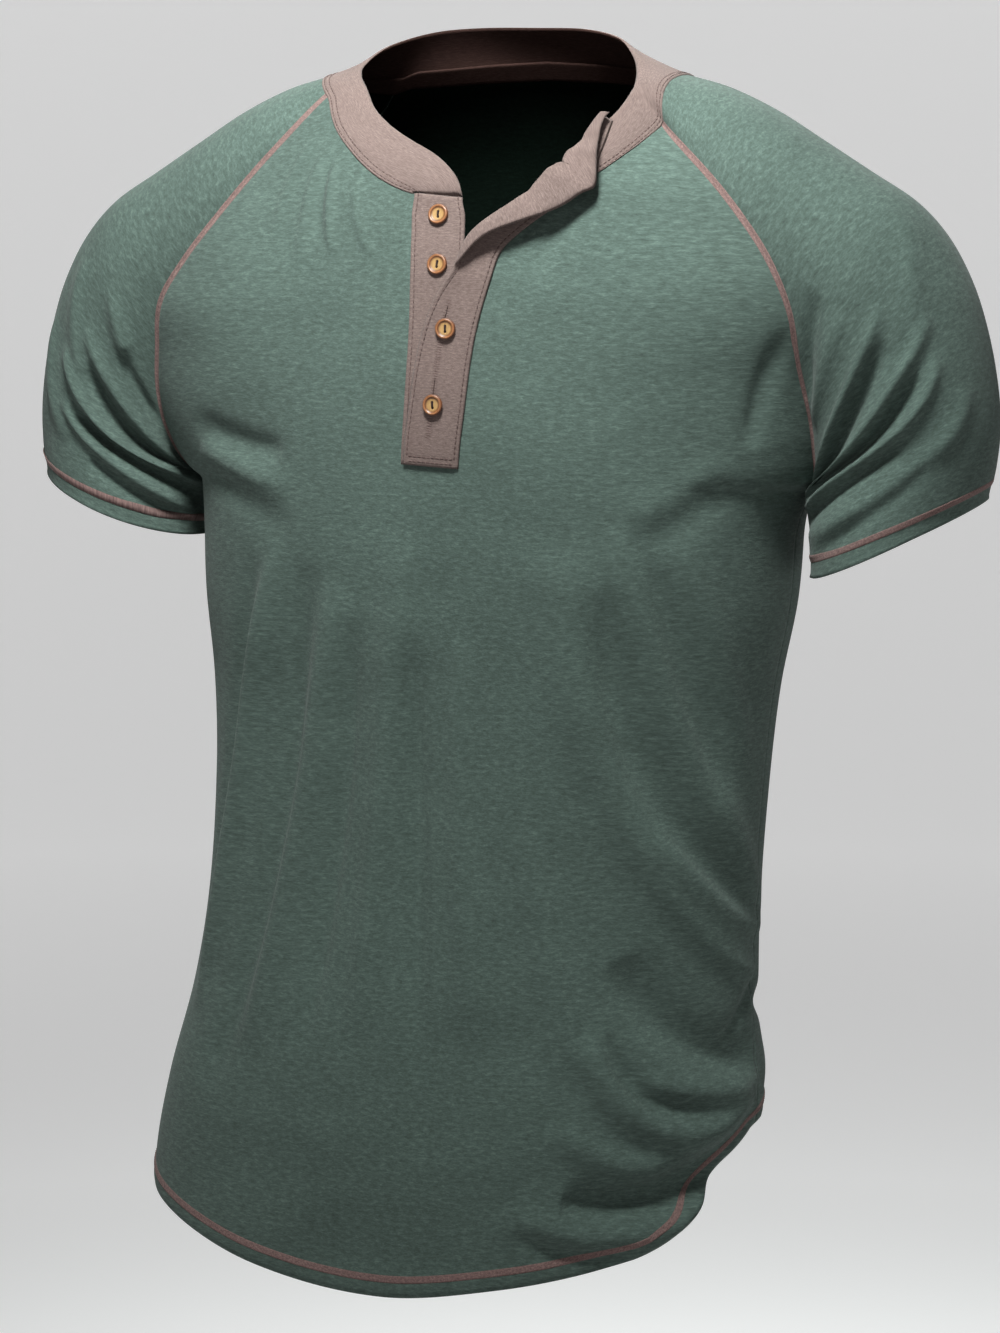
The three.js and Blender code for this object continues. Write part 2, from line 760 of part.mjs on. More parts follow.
// Place and directions on a grid at a height and at a share of the way along its lines
function gridFrame(grid, z, across) {
  const column = across * (grid[0].length - 1);
  const at = (i, j) => grid[i][Math.floor(j)].clone().lerp(grid[i][Math.ceil(j)], j % 1);
  const i = grid.findIndex((line, k) => k > 0 && at(k, column).z > z);
  const below = at(i - 1, column);
  const above = at(i, column);
  const position = below.clone().lerp(above, (z - below.z) / (above.z - below.z));
  const right = at(i, Math.floor(column) + 1).sub(at(i, Math.ceil(column) - 1)).normalize();
  const outward = right.clone().cross(above.sub(below)).normalize();
  return { position, right, outward };
}

function solidOf(geometry) {
  const bare = geometry.clone();
  bare.deleteAttribute('normal');
  bare.deleteAttribute('uv');
  const merged = mergeVertices(bare, weldTolerance);
  const index = Array.from(merged.index.array);
  const triVerts = [];
  for (let i = 0; i < index.length; i += 3) {
    const corners = index.slice(i, i + 3);
    if (new Set(corners).size === 3) triVerts.push(...corners);
  }
  return new wasm.Manifold(new wasm.Mesh({
    numProp: 3,
    vertProperties: new Float32Array(merged.attributes.position.array),
    triVerts: new Uint32Array(triVerts),
  }));
}

function geometryOf(solid) {
  const { vertProperties, triVerts } = solid.getMesh();
  const geometry = new THREE.BufferGeometry();
  geometry.setAttribute('position', new THREE.BufferAttribute(vertProperties, 3));
  geometry.setIndex(new THREE.BufferAttribute(triVerts, 1));
  return geometry;
}

function buttonGeometry() {
  const outline = buttonOutline.map(([out, up]) => (
    new THREE.Vector2(out * buttonRadius, up * buttonThickness)
  ));
  let disc = solidOf(new THREE.LatheGeometry(outline, buttonSides));
  for (const end of [-1, 1]) {
    const drill = new THREE.CylinderGeometry(buttonHoleRadius, buttonHoleRadius, buttonThickness * 4, holeSides);
    drill.translate(0, 0, (end * buttonHoleSpacing) / 2);
    disc = disc.subtract(solidOf(drill));
  }
  return geometryOf(disc);
}

const henley = new THREE.Group();
const green = new THREE.MeshStandardMaterial({ color: 0x4f6a60, roughness: 0.92, metalness: 0 });
const mauve = new THREE.MeshStandardMaterial({ color: 0x8a7770, roughness: 0.92, metalness: 0 });
const wood = new THREE.MeshStandardMaterial({ color: 0xa9783f, roughness: 0.5, metalness: 0 });

function add(name, geometry, material) {
  const mesh = new THREE.Mesh(geometry, material);
  mesh.name = name;
  henley.add(mesh);
  return mesh;
}

const collar = collarGrid();
const stand = standGrid(collar);
const strip = stripGrid(collar);
const sewn = {
  front: { ...weld(cellsOf(front, false, (i, j) => !inSlit(i, j))), wall: jerseyWall, cloth: green },
  back: { ...weld(cellsOf(back)), wall: jerseyWall, cloth: green },
  sleeve_left: { ...weld(cellsOf(leftSleeve)), wall: jerseyWall, cloth: green },
  sleeve_right: { ...weld(cellsOf(rightSleeve, true)), wall: jerseyWall, cloth: green },
  collar: { ...weld(cellsOf(collar)), wall: bandWall, cloth: mauve },
  placket_under: { ...weld(cellsOf(stand)), wall: jerseyWall, cloth: mauve },
};
shareSeams(Object.values(sewn));
for (const [name, piece] of Object.entries(sewn)) {
  add(name, wallGeometry(piece, piece.wall), piece.cloth);
}
add('placket_over', wallGeometry(weld(cellsOf(strip)), bandWall), mauve);
add('neck_tape', wallGeometry(weld(cellsOf(tapeGrid())), tapeWall), mauve);

// Buttons lie on the plackets, facing outward, their holes one above the other
buttonPlaces.forEach((place, i) => {
  const grid = place.onStrip ? strip.map((line) => line.slice(0, -1)) : stand;
  const { position, right, outward } = gridFrame(grid, place.z, place.across);
  const button = add(`button_${i + 1}`, buttonGeometry(), wood);
  button.position.copy(position).addScaledVector(outward, buttonGap);
  const down = right.clone().cross(outward);
  button.quaternion.setFromRotationMatrix(new THREE.Matrix4().makeBasis(right, outward, down));
});

export default henley;
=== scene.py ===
# %% [markdown]
# # A henley shirt, filled out as worn
# A short-sleeved jersey shirt with raglan sleeves, a band collar and a half-open placket with four
# wooden buttons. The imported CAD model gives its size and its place, so everything here is worked
# out in the same frame: +X towards the wearer's left, -Y to the front, +Z up. Sizes are written in
# millimetres, as a pattern maker would, and turned into metres when a mesh is made.

# %% Load the frame
import json

import bmesh
import bpy
import numpy as np
from mathutils import Matrix

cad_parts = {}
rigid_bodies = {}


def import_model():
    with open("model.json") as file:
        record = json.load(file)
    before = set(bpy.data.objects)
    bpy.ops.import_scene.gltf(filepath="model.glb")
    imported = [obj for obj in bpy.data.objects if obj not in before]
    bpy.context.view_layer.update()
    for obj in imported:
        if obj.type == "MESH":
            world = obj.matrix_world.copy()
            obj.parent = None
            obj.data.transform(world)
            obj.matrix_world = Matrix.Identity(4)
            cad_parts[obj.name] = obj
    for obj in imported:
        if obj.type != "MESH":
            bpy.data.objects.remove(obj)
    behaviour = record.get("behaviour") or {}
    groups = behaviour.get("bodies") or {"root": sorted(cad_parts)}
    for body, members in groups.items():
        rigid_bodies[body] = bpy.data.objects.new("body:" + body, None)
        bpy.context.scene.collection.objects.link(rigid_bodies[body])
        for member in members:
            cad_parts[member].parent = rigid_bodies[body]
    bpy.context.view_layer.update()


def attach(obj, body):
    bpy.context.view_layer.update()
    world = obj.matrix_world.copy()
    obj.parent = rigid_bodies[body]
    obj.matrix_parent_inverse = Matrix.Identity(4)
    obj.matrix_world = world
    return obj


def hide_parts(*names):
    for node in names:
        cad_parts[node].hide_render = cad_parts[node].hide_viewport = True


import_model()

MM = 0.001

# %% [markdown]
# ## Camera, floor and light
# The shirt was looked at from a little to the wearer's left and a little above, with a long lens,
# so the camera stands three metres off. A camera is three directions and a place: right, up and
# the way it looks. A soft key lamp stands above and in front, a weak fill at the wearer's right and
# a wide lamp behind. The floor glows a little more further out, so it stays pale and even.


# %% Camera
def add_object(name, data):
    """An object that shows some data, added to the scene."""
    made = bpy.data.objects.new(name, data)
    bpy.context.collection.objects.link(made)
    return made


def aim(body, side, upward, back, place):
    """Turns an object's own three axes to the given directions and moves it to its place."""
    columns = np.column_stack([side, upward, back, place])
    body.matrix_world = Matrix(np.vstack([columns, [0, 0, 0, 1]]))


def unit(vectors):
    """Vectors of length one."""
    return vectors / np.maximum(np.linalg.norm(vectors, axis=-1, keepdims=True), 1e-9)


turn, rise = np.radians(21), np.radians(6)
distance, shift_left, shift_down = 3.0, 0.0041, 0.346
right = np.array([np.cos(turn), np.sin(turn), 0])
ahead = np.array([-np.sin(turn) * np.cos(rise), np.cos(turn) * np.cos(rise), -np.sin(rise)])
up = np.cross(right, ahead)
place = -distance * ahead - shift_left * right - shift_down * up
camera = add_object("camera", bpy.data.cameras.new("camera"))
camera.data.lens = 138.5
camera.data.sensor_width = 36
aim(camera, right, up, -ahead, place)
bpy.context.scene.camera = camera
bpy.context.scene.view_settings.view_transform = "Standard"
print("camera at", np.round(place, 3))


# %% Shader nodes
def new_material(name, roughness, sheen=0.0, specular=0.3):
    """A material with its Principled shader, ready for a colour and a bump."""
    material = bpy.data.materials.new(name)
    material.use_nodes = True
    shader = material.node_tree.nodes["Principled BSDF"]
    shader.inputs["Roughness"].default_value = roughness
    shader.inputs["Specular IOR Level"].default_value = specular
    shader.inputs["Sheen Weight"].default_value = sheen
    shader.inputs["Sheen Roughness"].default_value = 0.55
    return material, material.node_tree, shader


def add_node(tree, kind, **values):
    """A node with its properties and inputs set by name, spaces written as underscores."""
    node = tree.nodes.new(kind)
    for name, value in values.items():
        label = name.replace("_", " ")
        if label in node.inputs:
            node.inputs[label].default_value = value
        else:
            setattr(node, name, value)
    return node


# %% Floor
floor_z, floor_flat, floor_curve, floor_wall = -1.05, 4.2, 1.6, 0.4


def cove(rings=40, sides=96):
    """A round pale floor that curves up into a low wall. Its profile is a straight run out from the
    middle, a quarter circle and a straight run up, and it is turned about the Z axis."""
    bend = np.linspace(0, np.pi / 2, rings)
    out = np.concatenate([[0, 1, 2, 3], floor_flat + floor_curve * np.sin(bend)])
    rise = np.concatenate([np.zeros(4), floor_curve * (1 - np.cos(bend))])
    out, rise = np.append(out, out[-1]), np.append(rise, rise[-1] + floor_wall)
    turn = np.linspace(0, 2 * np.pi, sides + 1)
    x, y = out[:, None] * np.cos(turn), out[:, None] * np.sin(turn)
    z = floor_z + rise[:, None] + 0 * turn
    return np.stack([x, y, z], axis=-1)


def quads(grid, closed=False, flip=False):
    """Corner numbers of the faces of a grid of points: a point, its neighbour, and the two above
    them. In a closed grid the last column is joined to the first."""
    index = np.arange(grid.shape[0] * grid.shape[1]).reshape(grid.shape[:2])
    if closed:
        index = np.concatenate([index, index[:, :1]], axis=1)
    corners = [index[:-1, :-1], index[:-1, 1:], index[1:, 1:], index[1:, :-1]]
    faces = np.stack(corners, axis=-1).reshape(-1, 4)
    return faces[:, ::-1] if flip else faces


floor_points = cove()
floor_mesh = bpy.data.meshes.new("floor")
floor_mesh.from_pydata(floor_points.reshape(-1, 3), [], quads(floor_points, flip=True))
floor_mesh.shade_smooth()
floor = add_object("floor", floor_mesh)
floor_paint, paint_tree, paint = new_material("floor_paint", 0.9, 0.0, 0.5)
paint.inputs["Base Color"].default_value = (0.7, 0.7, 0.7, 1)
paint.inputs["Emission Color"].default_value = (1, 1, 1, 1)
spot = add_node(paint_tree, "ShaderNodeTexCoord")
away = add_node(paint_tree, "ShaderNodeVectorMath", operation="LENGTH")
glow = add_node(paint_tree, "ShaderNodeMapRange", From_Min=0.6, From_Max=2.2, To_Min=0.06, To_Max=0.44)
paint_tree.links.new(spot.outputs["Object"], away.inputs[0])
paint_tree.links.new(away.outputs["Value"], glow.inputs["Value"])
paint_tree.links.new(glow.outputs["Result"], paint.inputs["Emission Strength"])
floor_mesh.materials.append(floor_paint)
print("floor at", floor_z, "m")


# %% Lamps
def area_light(name, place, target, size, power, spread=180, color=(1, 1, 1)):
    """A square lamp of the given size that looks from its place at the target."""
    lamp = bpy.data.lights.new(name, "AREA")
    lamp.size, lamp.energy, lamp.color = size, power, color
    lamp.spread = np.radians(spread)
    back = unit(np.array(place, float) - np.array(target, float))
    side = unit(np.cross([0, 0, 1], back))
    aim(add_object(name, lamp), side, np.cross(back, side), back, place)


area_light("key", (0.12, -0.74, 0.98), (-0.01, 0, 0.03), 0.35, 4.8, 48, (0.95, 1, 0.98))
area_light("fill", (-0.9, -2.2, 0.4), (0, 0, -0.3), 1.2, 0.2)
area_light("back", (-0.5, 1.7, 1.1), (0, 0, -0.2), 0.9, 9, 100)

world = bpy.data.worlds.new("studio")
world.use_nodes = True
sky = world.node_tree.nodes["Background"]
sky.inputs["Color"].default_value = (1, 1, 1, 1)
sky.inputs["Strength"].default_value = 0.045
bpy.context.scene.world = world
print(len(bpy.data.lights), "lamps")

# %% [markdown]
# ## Smooth tables
# The shirt's sections, edges and folds are short tables. A value between two rows lies on a
# smooth curve, a cubic whose slope at each row is the slope between that row's neighbours. It
# passes through every row and never shows a corner.


# %% Tables and directions
def table(names, rows):
    """Rows of numbers as one array for each named column."""
    return dict(zip(names.split(), np.array(rows, float).T))


def follow(rows, column, at):
    """A column's value at the first column's value, on a cubic through the rows. With u the share
    of the way between two rows, it is their blend u*u*(3 - 2u) plus u*(1 - u) times the span
    times the two slopes, weighted by the nearness of each row."""
    x, y = next(iter(rows.values())), rows[column]
    at = np.clip(at, x[0], x[-1])
    i = np.clip(np.searchsorted(x, at, side="right") - 1, 0, len(x) - 2)
    order = np.arange(len(x))
    before, after = np.maximum(order - 1, 0), np.minimum(order + 1, len(x) - 1)
    slope = (y[after] - y[before]) / (x[after] - x[before])
    span = x[i + 1] - x[i]
    u = (at - x[i]) / span
    bend = u * (1 - u) * span * ((1 - u) * slope[i] - u * slope[i + 1])
    return y[i] + (y[i + 1] - y[i]) * u * u * (3 - 2 * u) + bend


def ease(share):
    """A share from 0 to 1 that sets out and arrives with no slope: u*u*(3 - 2u)."""
    return share * share * (3 - 2 * share)


def mix(low, high, share):
    """low where share is 0, high where it is 1."""
    return low + (high - low) * share


def wrap(angle):
    """An angle brought between minus and plus half a turn."""
    return np.arctan2(np.sin(angle), np.cos(angle))


def normals_of(grid, flip=False):
    """Outward directions of a grid of points: the cross product of its steps along and up."""
    across = np.gradient(grid, axis=1)
    upward = np.gradient(grid, axis=0)
    return unit(np.cross(across, upward) * (-1 if flip else 1))


# %% [markdown]
# ## The body of the shirt
# A worn shirt is a tube with a chest. Each level section is a superellipse: a half width, a depth
# to the front and one to the back, and a power that squares its corners a little. The wearer
# stands turned, so the sections also slide sideways towards the hem.

# %% Body sections
torso = table("z side front back shift_x shift_y power", [
    (-780, 191, 116, 106, -38, 4, 2.1),
    (-652, 190, 115, 105, -34, 4, 2.1),
    (-600, 185, 113, 104, -29, 3, 2.1),
    (-540, 175, 108, 102, -22, 3, 2.1),
    (-480, 170, 104, 98, -16, 2, 2.15),
    (-407, 170, 103, 96, -10, 0, 2.2),
    (-354, 173, 107, 99, -7, 0, 2.25),
    (-301, 180, 113, 104, -4, 0, 2.3),
    (-240, 181.5, 118, 110, -2, 0, 2.35),
    (-180, 184, 118, 115, 0, 0, 2.35),
    (-120, 183, 111, 116, 0, 0, 2.3),
    (-80, 178, 101, 112, 0, 0, 2.2),
    (-50, 166, 90, 104, 0, 0, 2.1),
    (-25, 142, 77, 92, 0, 0, 2),
    (0, 109, 58, 74, 0, 0, 2),
    (20, 90, 44, 60, 0, 0, 2),
    (50, 78, 40, 52, 0, 4, 2),
])
neckline = table("angle z", [
    (-180, 8), (-150, 6), (-118, 2), (-85, 0), (-65, -11), (-45, -36), (-27, -57), (-12, -67),
    (10, -71), (30, -70), (43, -60), (58, -41), (71, -24), (90, 0), (118, 2), (150, 6), (180, 8),
])
hemline = table("angle z", [
    (-180, -706), (-150, -700), (-120, -672), (-90, -656), (-72, -671), (-40, -696), (0, -707),
    (33, -699), (55, -686), (66, -672), (78, -636), (92, -610), (106, -608), (128, -648),
    (152, -692), (180, -706),
])
slit_edges = table("z stand_x strip_x", [
    (-800, -18, 13), (-226, -18, 13), (-187, -16, 17), (-147, -14.5, 22), (-113, -15.5, 30),
    (-98, -16.5, 35), (-85, -17.5, 48), (-72, -19, 65), (-60, -20, 79), (-30, -20, 92),
])


def smooth_radius(angle, z):
    """Reach of a superellipse: the power-th root of one over the sum of the sine's and the
    cosine's shares, each divided by its half axis and raised to the power."""
    depth = np.where(np.cos(angle) > 0, follow(torso, "front", z), follow(torso, "back", z))
    power = follow(torso, "power", z)
    across = np.abs(np.sin(angle)) / follow(torso, "side", z)
    through = np.abs(np.cos(angle)) / depth
    return (across ** power + through ** power) ** (-1 / power)


print("body is", 2 * follow(torso, "side", -180.0), "mm wide at the chest")

# %% [markdown]
# ## Folds
# A fold is a soft ridge or trough that runs along a curve on the cloth. It is given by two ends, a
# middle, a width and a height. Its height fades away from the curve as a bell does, and towards
# both ends, so no two look alike and none ends in a step. The photograph shows swags that hang
# from the wearer's left hip, upright folds under the chest, and creases that fan out from the
# armpits. The back gets folds of the same kinds.

# %% Fold tables
body_folds = table("from_angle from_z mid_angle mid_z to_angle to_z width height", [
    (-44, -270, -59, -405, -70, -560, 9, 6.5),
    (-36, -280, -48, -430, -58, -600, 11, -6.5),
    (-28, -290, -41, -430, -50, -570, 13, 6),
    (-8, -260, -15, -420, -15, -560, 14, 5.5),
    (34, -270, 53, -410, 92, -516, 16, 6.5),
    (45, -290, 61, -412, 94, -508, 12, -7),
    (47, -255, 63, -370, 96, -496, 11, 5),
    (56, -505, 71, -556, 90, -568, 13, -9),
    (48, -550, 63, -606, 88, -592, 13, 9),
    (46, -646, 66, -644, 90, -602, 11, -13),
    (34, -650, 60, -664, 88, -612, 12, 9),
    (122, -300, 128, -430, 118, -560, 20, 6),
    (146, -330, 150, -450, 144, -590, 18, -6),
    (168, -280, 170, -420, 166, -560, 18, 5),
    (-168, -300, -165, -430, -160, -600, 17, -5),
    (-140, -290, -144, -420, -136, -580, 18, 6),
    (-112, -320, -118, -450, -108, -560, 18, -5),
    (130, -520, 112, -570, 92, -578, 16, 3),
    (136, -600, 116, -622, 94, -600, 13, -3),
])
fine_folds = table("from_angle from_z mid_angle mid_z to_angle to_z width height", [
    (-46, -280, -60, -405, -71, -550, 5, 2.6),
    (-50, -280, -65, -400, -74, -520, 7, -4),
    (-24, -310, -30, -440, -33, -570, 9, -5),
    (-6, -320, -2, -450, 6, -580, 10, -4.5),
    (10, -320, 12, -430, 22, -560, 11, 4),
    (52, -268, 64, -345, 76, -420, 8, -4),
    (58, -262, 70, -330, 82, -400, 8, 3),
    (60, -430, 78, -478, 96, -498, 7, 4.5),
    (52, -420, 74, -500, 94, -522, 6, 3),
    (54, -548, 64, -590, 84, -597, 6.5, -6),
    (60, -575, 72, -585, 92, -584, 7, 4),
    (44, -552, 55, -600, 68, -622, 8, -5.5),
    (44, -600, 55, -624, 68, -626, 8, 5),
    (36, -664, 48, -677, 60, -676, 6, -4),
    (62, -668, 74, -642, 92, -624, 6, -7),
    (80, -560, 86, -540, 94, -520, 5, -3),
    (30, -430, 40, -510, 46, -580, 10, 3.5),
    (-42, -50, -38, -78, -33, -104, 3.2, 2.2),
    (-48, -44, -45, -76, -42, -110, 3.5, 2),
    (-54, -36, -53, -64, -50, -96, 3.5, 1.6),
    (-45, -46, -42, -74, -38, -98, 3, -1.6),
    (-33, -60, -28, -84, -21, -104, 4, 1.6),
    (42, -74, 34, -92, 28, -112, 6, -2),
    (-66, -200, -54, -212, -42, -216, 8, -4.5),
    (-66, -216, -54, -228, -40, -238, 8, 4),
    (-64, -234, -52, -250, -40, -262, 8, -2),
    (74, -140, 71, -176, 70, -212, 5, -3.5),
    (66, -216, 58, -236, 48, -250, 9, 1.8),
    (68, -232, 58, -256, 48, -268, 9, -2),
    (112, -216, 126, -236, 140, -250, 9, 4),
    (-112, -216, -126, -236, -140, -250, 9, 4),
    (118, -110, 132, -128, 148, -150, 10, 3),
    (-118, -110, -132, -128, -148, -150, 10, 3),
    (156, -250, 162, -330, 160, -420, 12, 3),
    (-154, -250, -158, -330, -154, -420, 12, -3),
    (126, -560, 108, -548, 90, -540, 8, -4.5),
    (-120, -600, -104, -580, -92, -560, 10, 4),
])
sleeve_folds = table("side from_angle from_row mid_angle mid_row to_angle to_row width height", [
    (1, 158, 9.5, 112, 7.8, 66, 6.5, 4.5, 6),
    (1, 160, 9.8, 108, 8.25, 72, 7.2, 6, -7),
    (1, 162, 10, 96, 8.75, 42, 7.3, 4.5, 6.5),
    (1, 162, 10.25, 98, 9.2, 58, 8.2, 6, -7.5),
    (1, 165, 10.4, 88, 9.65, 44, 8.2, 4.5, 6.5),
    (1, 165, 10.75, 104, 10.15, 72, 9.7, 6, -6.5),
    (1, 150, 11.4, 64, 10.6, 28, 9, 7, 4),
    (1, 140, 11.7, 82, 11.1, 50, 10.3, 6, -3.5),
    (1, 140, 6.8, 118, 5.9, 92, 5.2, 6, -4),
    (1, 142, 7.4, 116, 6.6, 86, 6, 6, 3),
    (1, 60, 7.6, 40, 6.2, 20, 5.2, 9, 2),
    (1, 160, 11.1, 120, 11, 96, 10.9, 5, 2),
    (1, -145, 9, -100, 8.2, -50, 7.4, 7, 5.5),
    (1, -146, 9.5, -102, 8.8, -60, 8.2, 7, -5.5),
    (1, -140, 10.2, -100, 9.5, -60, 9, 7, 5.5),
    (1, -120, 11, -80, 10.6, -40, 9.6, 8, 3),
    (-1, 150, 8, 114, 6.9, 80, 5.8, 5, 5),
    (-1, 155, 8.2, 126, 7.4, 104, 6.6, 6, -7.5),
    (-1, 160, 9.2, 112, 8, 76, 7, 5, 5),
    (-1, 160, 9.7, 112, 8.6, 84, 7.8, 6, -7),
    (-1, 165, 10.2, 102, 9.1, 62, 7.9, 4.5, 6.5),
    (-1, 170, 10.6, 108, 9.7, 80, 9.1, 6, -7),
    (-1, 162, 10.9, 106, 10.25, 66, 9.1, 4.5, 5),
    (-1, 160, 11.2, 112, 10.7, 88, 10.3, 5, -4),
    (-1, 90, 8.6, 66, 7.2, 50, 6, 7, 3),
    (-1, 70, 10.2, 52, 9, 40, 7.6, 7, 3),
    (-1, -145, 8.9, -105, 8.1, -55, 7.3, 7, 5.5),
    (-1, -146, 9.4, -102, 8.7, -60, 8.1, 7, -5.5),
    (-1, -140, 10, -100, 9.4, -55, 8.8, 7, 5.5),
])
fold_steps, search_rounds = 14, 10
body_fold_radius, sleeve_fold_radius, sleeve_fold_step = 145, 62, 22
print(len(body_folds["width"]) + len(fine_folds["width"]), "folds on the body,",
      len(sleeve_folds["width"]), "on the sleeves")


# %% Fold height
def crease(across, along, start, middle, end, width, height):
    """One fold's height: height * (1 - (2s - 1)^4) * exp(-(d / width)^2), where d is the distance on
    the cloth to the fold's curve and s the share of the way along it. The curve is the parabola
    through three places, each a distance across and along."""
    start, middle, end = (np.array(place, float) for place in (start, middle, end))
    share = np.linspace(0, 1, fold_steps + 1)[:, None]
    pull = 2 * middle - (start + end) / 2
    path = start * (1 - share) ** 2 + 2 * pull * share * (1 - share) + end * share ** 2
    low, high = path.min(axis=0) - 3 * width, path.max(axis=0) + 3 * width
    near = (across > low[0]) & (across < high[0]) & (along > low[1]) & (along < high[1])
    spot = np.stack([across[near], along[near]], axis=-1)
    best, at = np.full(len(spot), np.inf), np.zeros(len(spot))
    for j in range(fold_steps):
        run = path[j + 1] - path[j]
        offset = spot - path[j]
        t = np.clip(offset @ run / (run @ run), 0, 1)
        away = np.linalg.norm(offset - t[:, None] * run, axis=1)
        closer = away < best
        best, at = np.where(closer, away, best), np.where(closer, (j + t) / fold_steps, at)
    raised = np.zeros(across.shape)
    raised[near] = height * (1 - (2 * at - 1) ** 4) * np.exp(-(best / width) ** 2)
    return raised


def fold_height(folds, start, middle, end, radius, angle, along):
    """Sum over a table's folds, whose angles are turned into distances on the cloth round each
    fold's middle."""
    angle, along = np.broadcast_arrays(angle, along)
    height = np.zeros(angle.shape)
    for k, mid_angle in enumerate(folds["mid_angle"]):
        ends = [np.radians(folds[name][k] - mid_angle) * radius for name in ("from_angle", "to_angle")]
        across = wrap(angle - np.radians(mid_angle)) * radius
        places = ((ends[0], start[k]), (0, middle[k]), (ends[1], end[k]))
        height += crease(across, along, *places, folds["width"][k], folds["height"][k])
    return height


def body_fold_height(angle, z):
    """Height of the large and the fine folds at an angle and a level of the body."""
    return sum(
        fold_height(folds, folds["from_z"], folds["mid_z"], folds["to_z"], body_fold_radius, angle, z)
        for folds in (body_folds, fine_folds)
    )


def body_radius(angle, z):
    """Reach of the body cloth: the smooth section plus its folds."""
    return smooth_radius(angle, z) + body_fold_height(angle, z)


def body_point(angle, z, radius):
    """The point at an angle from the front, a level and a reach from the section's middle."""
    x = follow(torso, "shift_x", z) + radius * np.sin(angle)
    y = follow(torso, "shift_y", z) - radius * np.cos(angle)
    return np.stack(np.broadcast_arrays(x, y, z), axis=-1)


def body_place(points):
    """Angle and reach of points from the section's middle."""
    x = points[..., 0] - follow(torso, "shift_x", points[..., 2])
    y = points[..., 1] - follow(torso, "shift_y", points[..., 2])
    return np.arctan2(x, -y), np.hypot(x, y)


def angle_at_x(x, z):
    """The angle at which the front reaches a given X, found by repeating asin(x / reach)."""
    angle = np.zeros(np.broadcast(x, z).shape)
    for _ in range(search_rounds):
        angle = np.arcsin((x - follow(torso, "shift_x", z)) / smooth_radius(angle, z))
    return angle


hip_fold = body_fold_height(np.radians(60.0), np.array([-664.0]))[0]
print("folds reach", round(float(hip_fold), 1), "mm at the hip")

# %% [markdown]
# ## Raglan sleeves
# A raglan sleeve runs up to the neck, so its top is part of the shoulder. It is built from slanted
# sections, each a half oval above and below a middle point that hangs from the ridge of the
# shoulder. The seams to the front and the back are angles counted from that ridge. They meet
# under the arm, and below that point the sleeve is a closed tube.

# %% Sleeve sections
sleeve_sections = table(
    "row ridge_x ridge_z tilt_back tilt_right tilt_left middle_y drop under front back"
    " seam_right seam_left seam_back", [
        (0, 109, 0, 86, 50, -6, 3, 24, 24, 48, 45, 75, 100, 86),
        (1, 134, -7, 48, 36, 12, 3, 34, 34, 57, 58, 88, 91, 88),
        (2, 162, -20, 41, 32, 26, 3, 43, 43, 63, 66, 94, 87, 95),
        (3, 190, -37, 39, 33, 32, 3, 51, 51, 66, 70, 96, 88, 104),
        (4, 219, -55, 41, 36, 35, 3, 56, 56, 67, 72, 101, 97, 114),
        (5, 246, -72, 43, 39, 39, 3, 59, 59, 67, 72, 110, 114, 123),
        (6, 265, -92, 46, 43, 43, 3, 61, 61, 66, 71, 122, 133, 131),
        (7, 279, -117, 49, 47, 47, 3, 61, 61, 65, 69, 132, 146, 138),
        (8, 288, -143, 53, 52, 52, 3, 61, 60, 64, 67, 142, 153, 146),
        (9, 294, -170, 59, 58, 58, 3, 60, 59, 63, 65, 158, 162, 158),
        (10, 297, -197, 68, 68, 68, 3, 60, 59, 63, 64, 180, 180, 180),
        (11, 295, -221, 68.5, 68.5, 68.5, 2, 57, 56, 64, 65, 180, 180, 180),
        (12, 290, -245, 67.5, 67.5, 67.5, 0, 54, 53, 65, 66, 180, 180, 180),
        (13, 285, -269, 66, 66, 66, -2, 52, 51, 65, 66, 180, 180, 180),
    ])
armpit_row = 10
hem_row = {1: 12.3, -1: 11.6}
hem_tuck = {1: 0.7, -1: 0.25}


def sleeve_point(side, row, angle, folded=True):
    """The ridge point, moved back along the slanted middle line by cos(angle) times the drop less
    the drop, and to the front or back by sin(angle) times the half width. Folds add to both."""
    value = {name: follow(sleeve_sections, name, row) for name in sleeve_sections}
    lean = (1 + np.sin(np.clip(angle, -np.pi / 2, np.pi / 2))) / 2
    tilt = np.radians(mix(value["tilt_back"], value["tilt_left" if side > 0 else "tilt_right"], lean))
    fold = 0.0
    if folded:
        mine = sleeve_folds["side"] == side
        folds = {name: column[mine] for name, column in sleeve_folds.items()}
        rows = [folds[name] * sleeve_fold_step for name in ("from_row", "mid_row", "to_row")]
        fold = fold_height(folds, *rows, sleeve_fold_radius, angle, row * sleeve_fold_step)
    outward = np.where(np.cos(angle) > 0, value["drop"], value["under"]) + fold
    sideways = np.where(angle > 0, value["front"], value["back"]) + fold
    along = np.cos(angle) * outward - value["drop"]
    x = side * (value["ridge_x"] + along * np.sin(tilt))
    y = value["middle_y"] - np.sin(angle) * sideways
    return np.stack(np.broadcast_arrays(x, y, value["ridge_z"] + along * np.cos(tilt)), axis=-1)


def seam_angle(side, row, seam):
    """Angle of the front or back raglan seam from the ridge, at a section row."""
    if seam == "back":
        return -np.radians(follow(sleeve_sections, "seam_back", row))
    return np.radians(follow(sleeve_sections, "seam_left" if side > 0 else "seam_right", row))


print("sleeve hem is", round(2 * float(follow(sleeve_sections, "front", 12.0))), "mm deep")

# %% [markdown]
# ## Front and back panels
# Both panels are one function of two numbers: v runs from the hem (-1) over the armpit (0) to the
# neck (1), and the turn is the angle from the panel's middle. The panel's upper ends are the
# sleeves' seam points, and the cloth flares out over the last few centimetres to meet them.

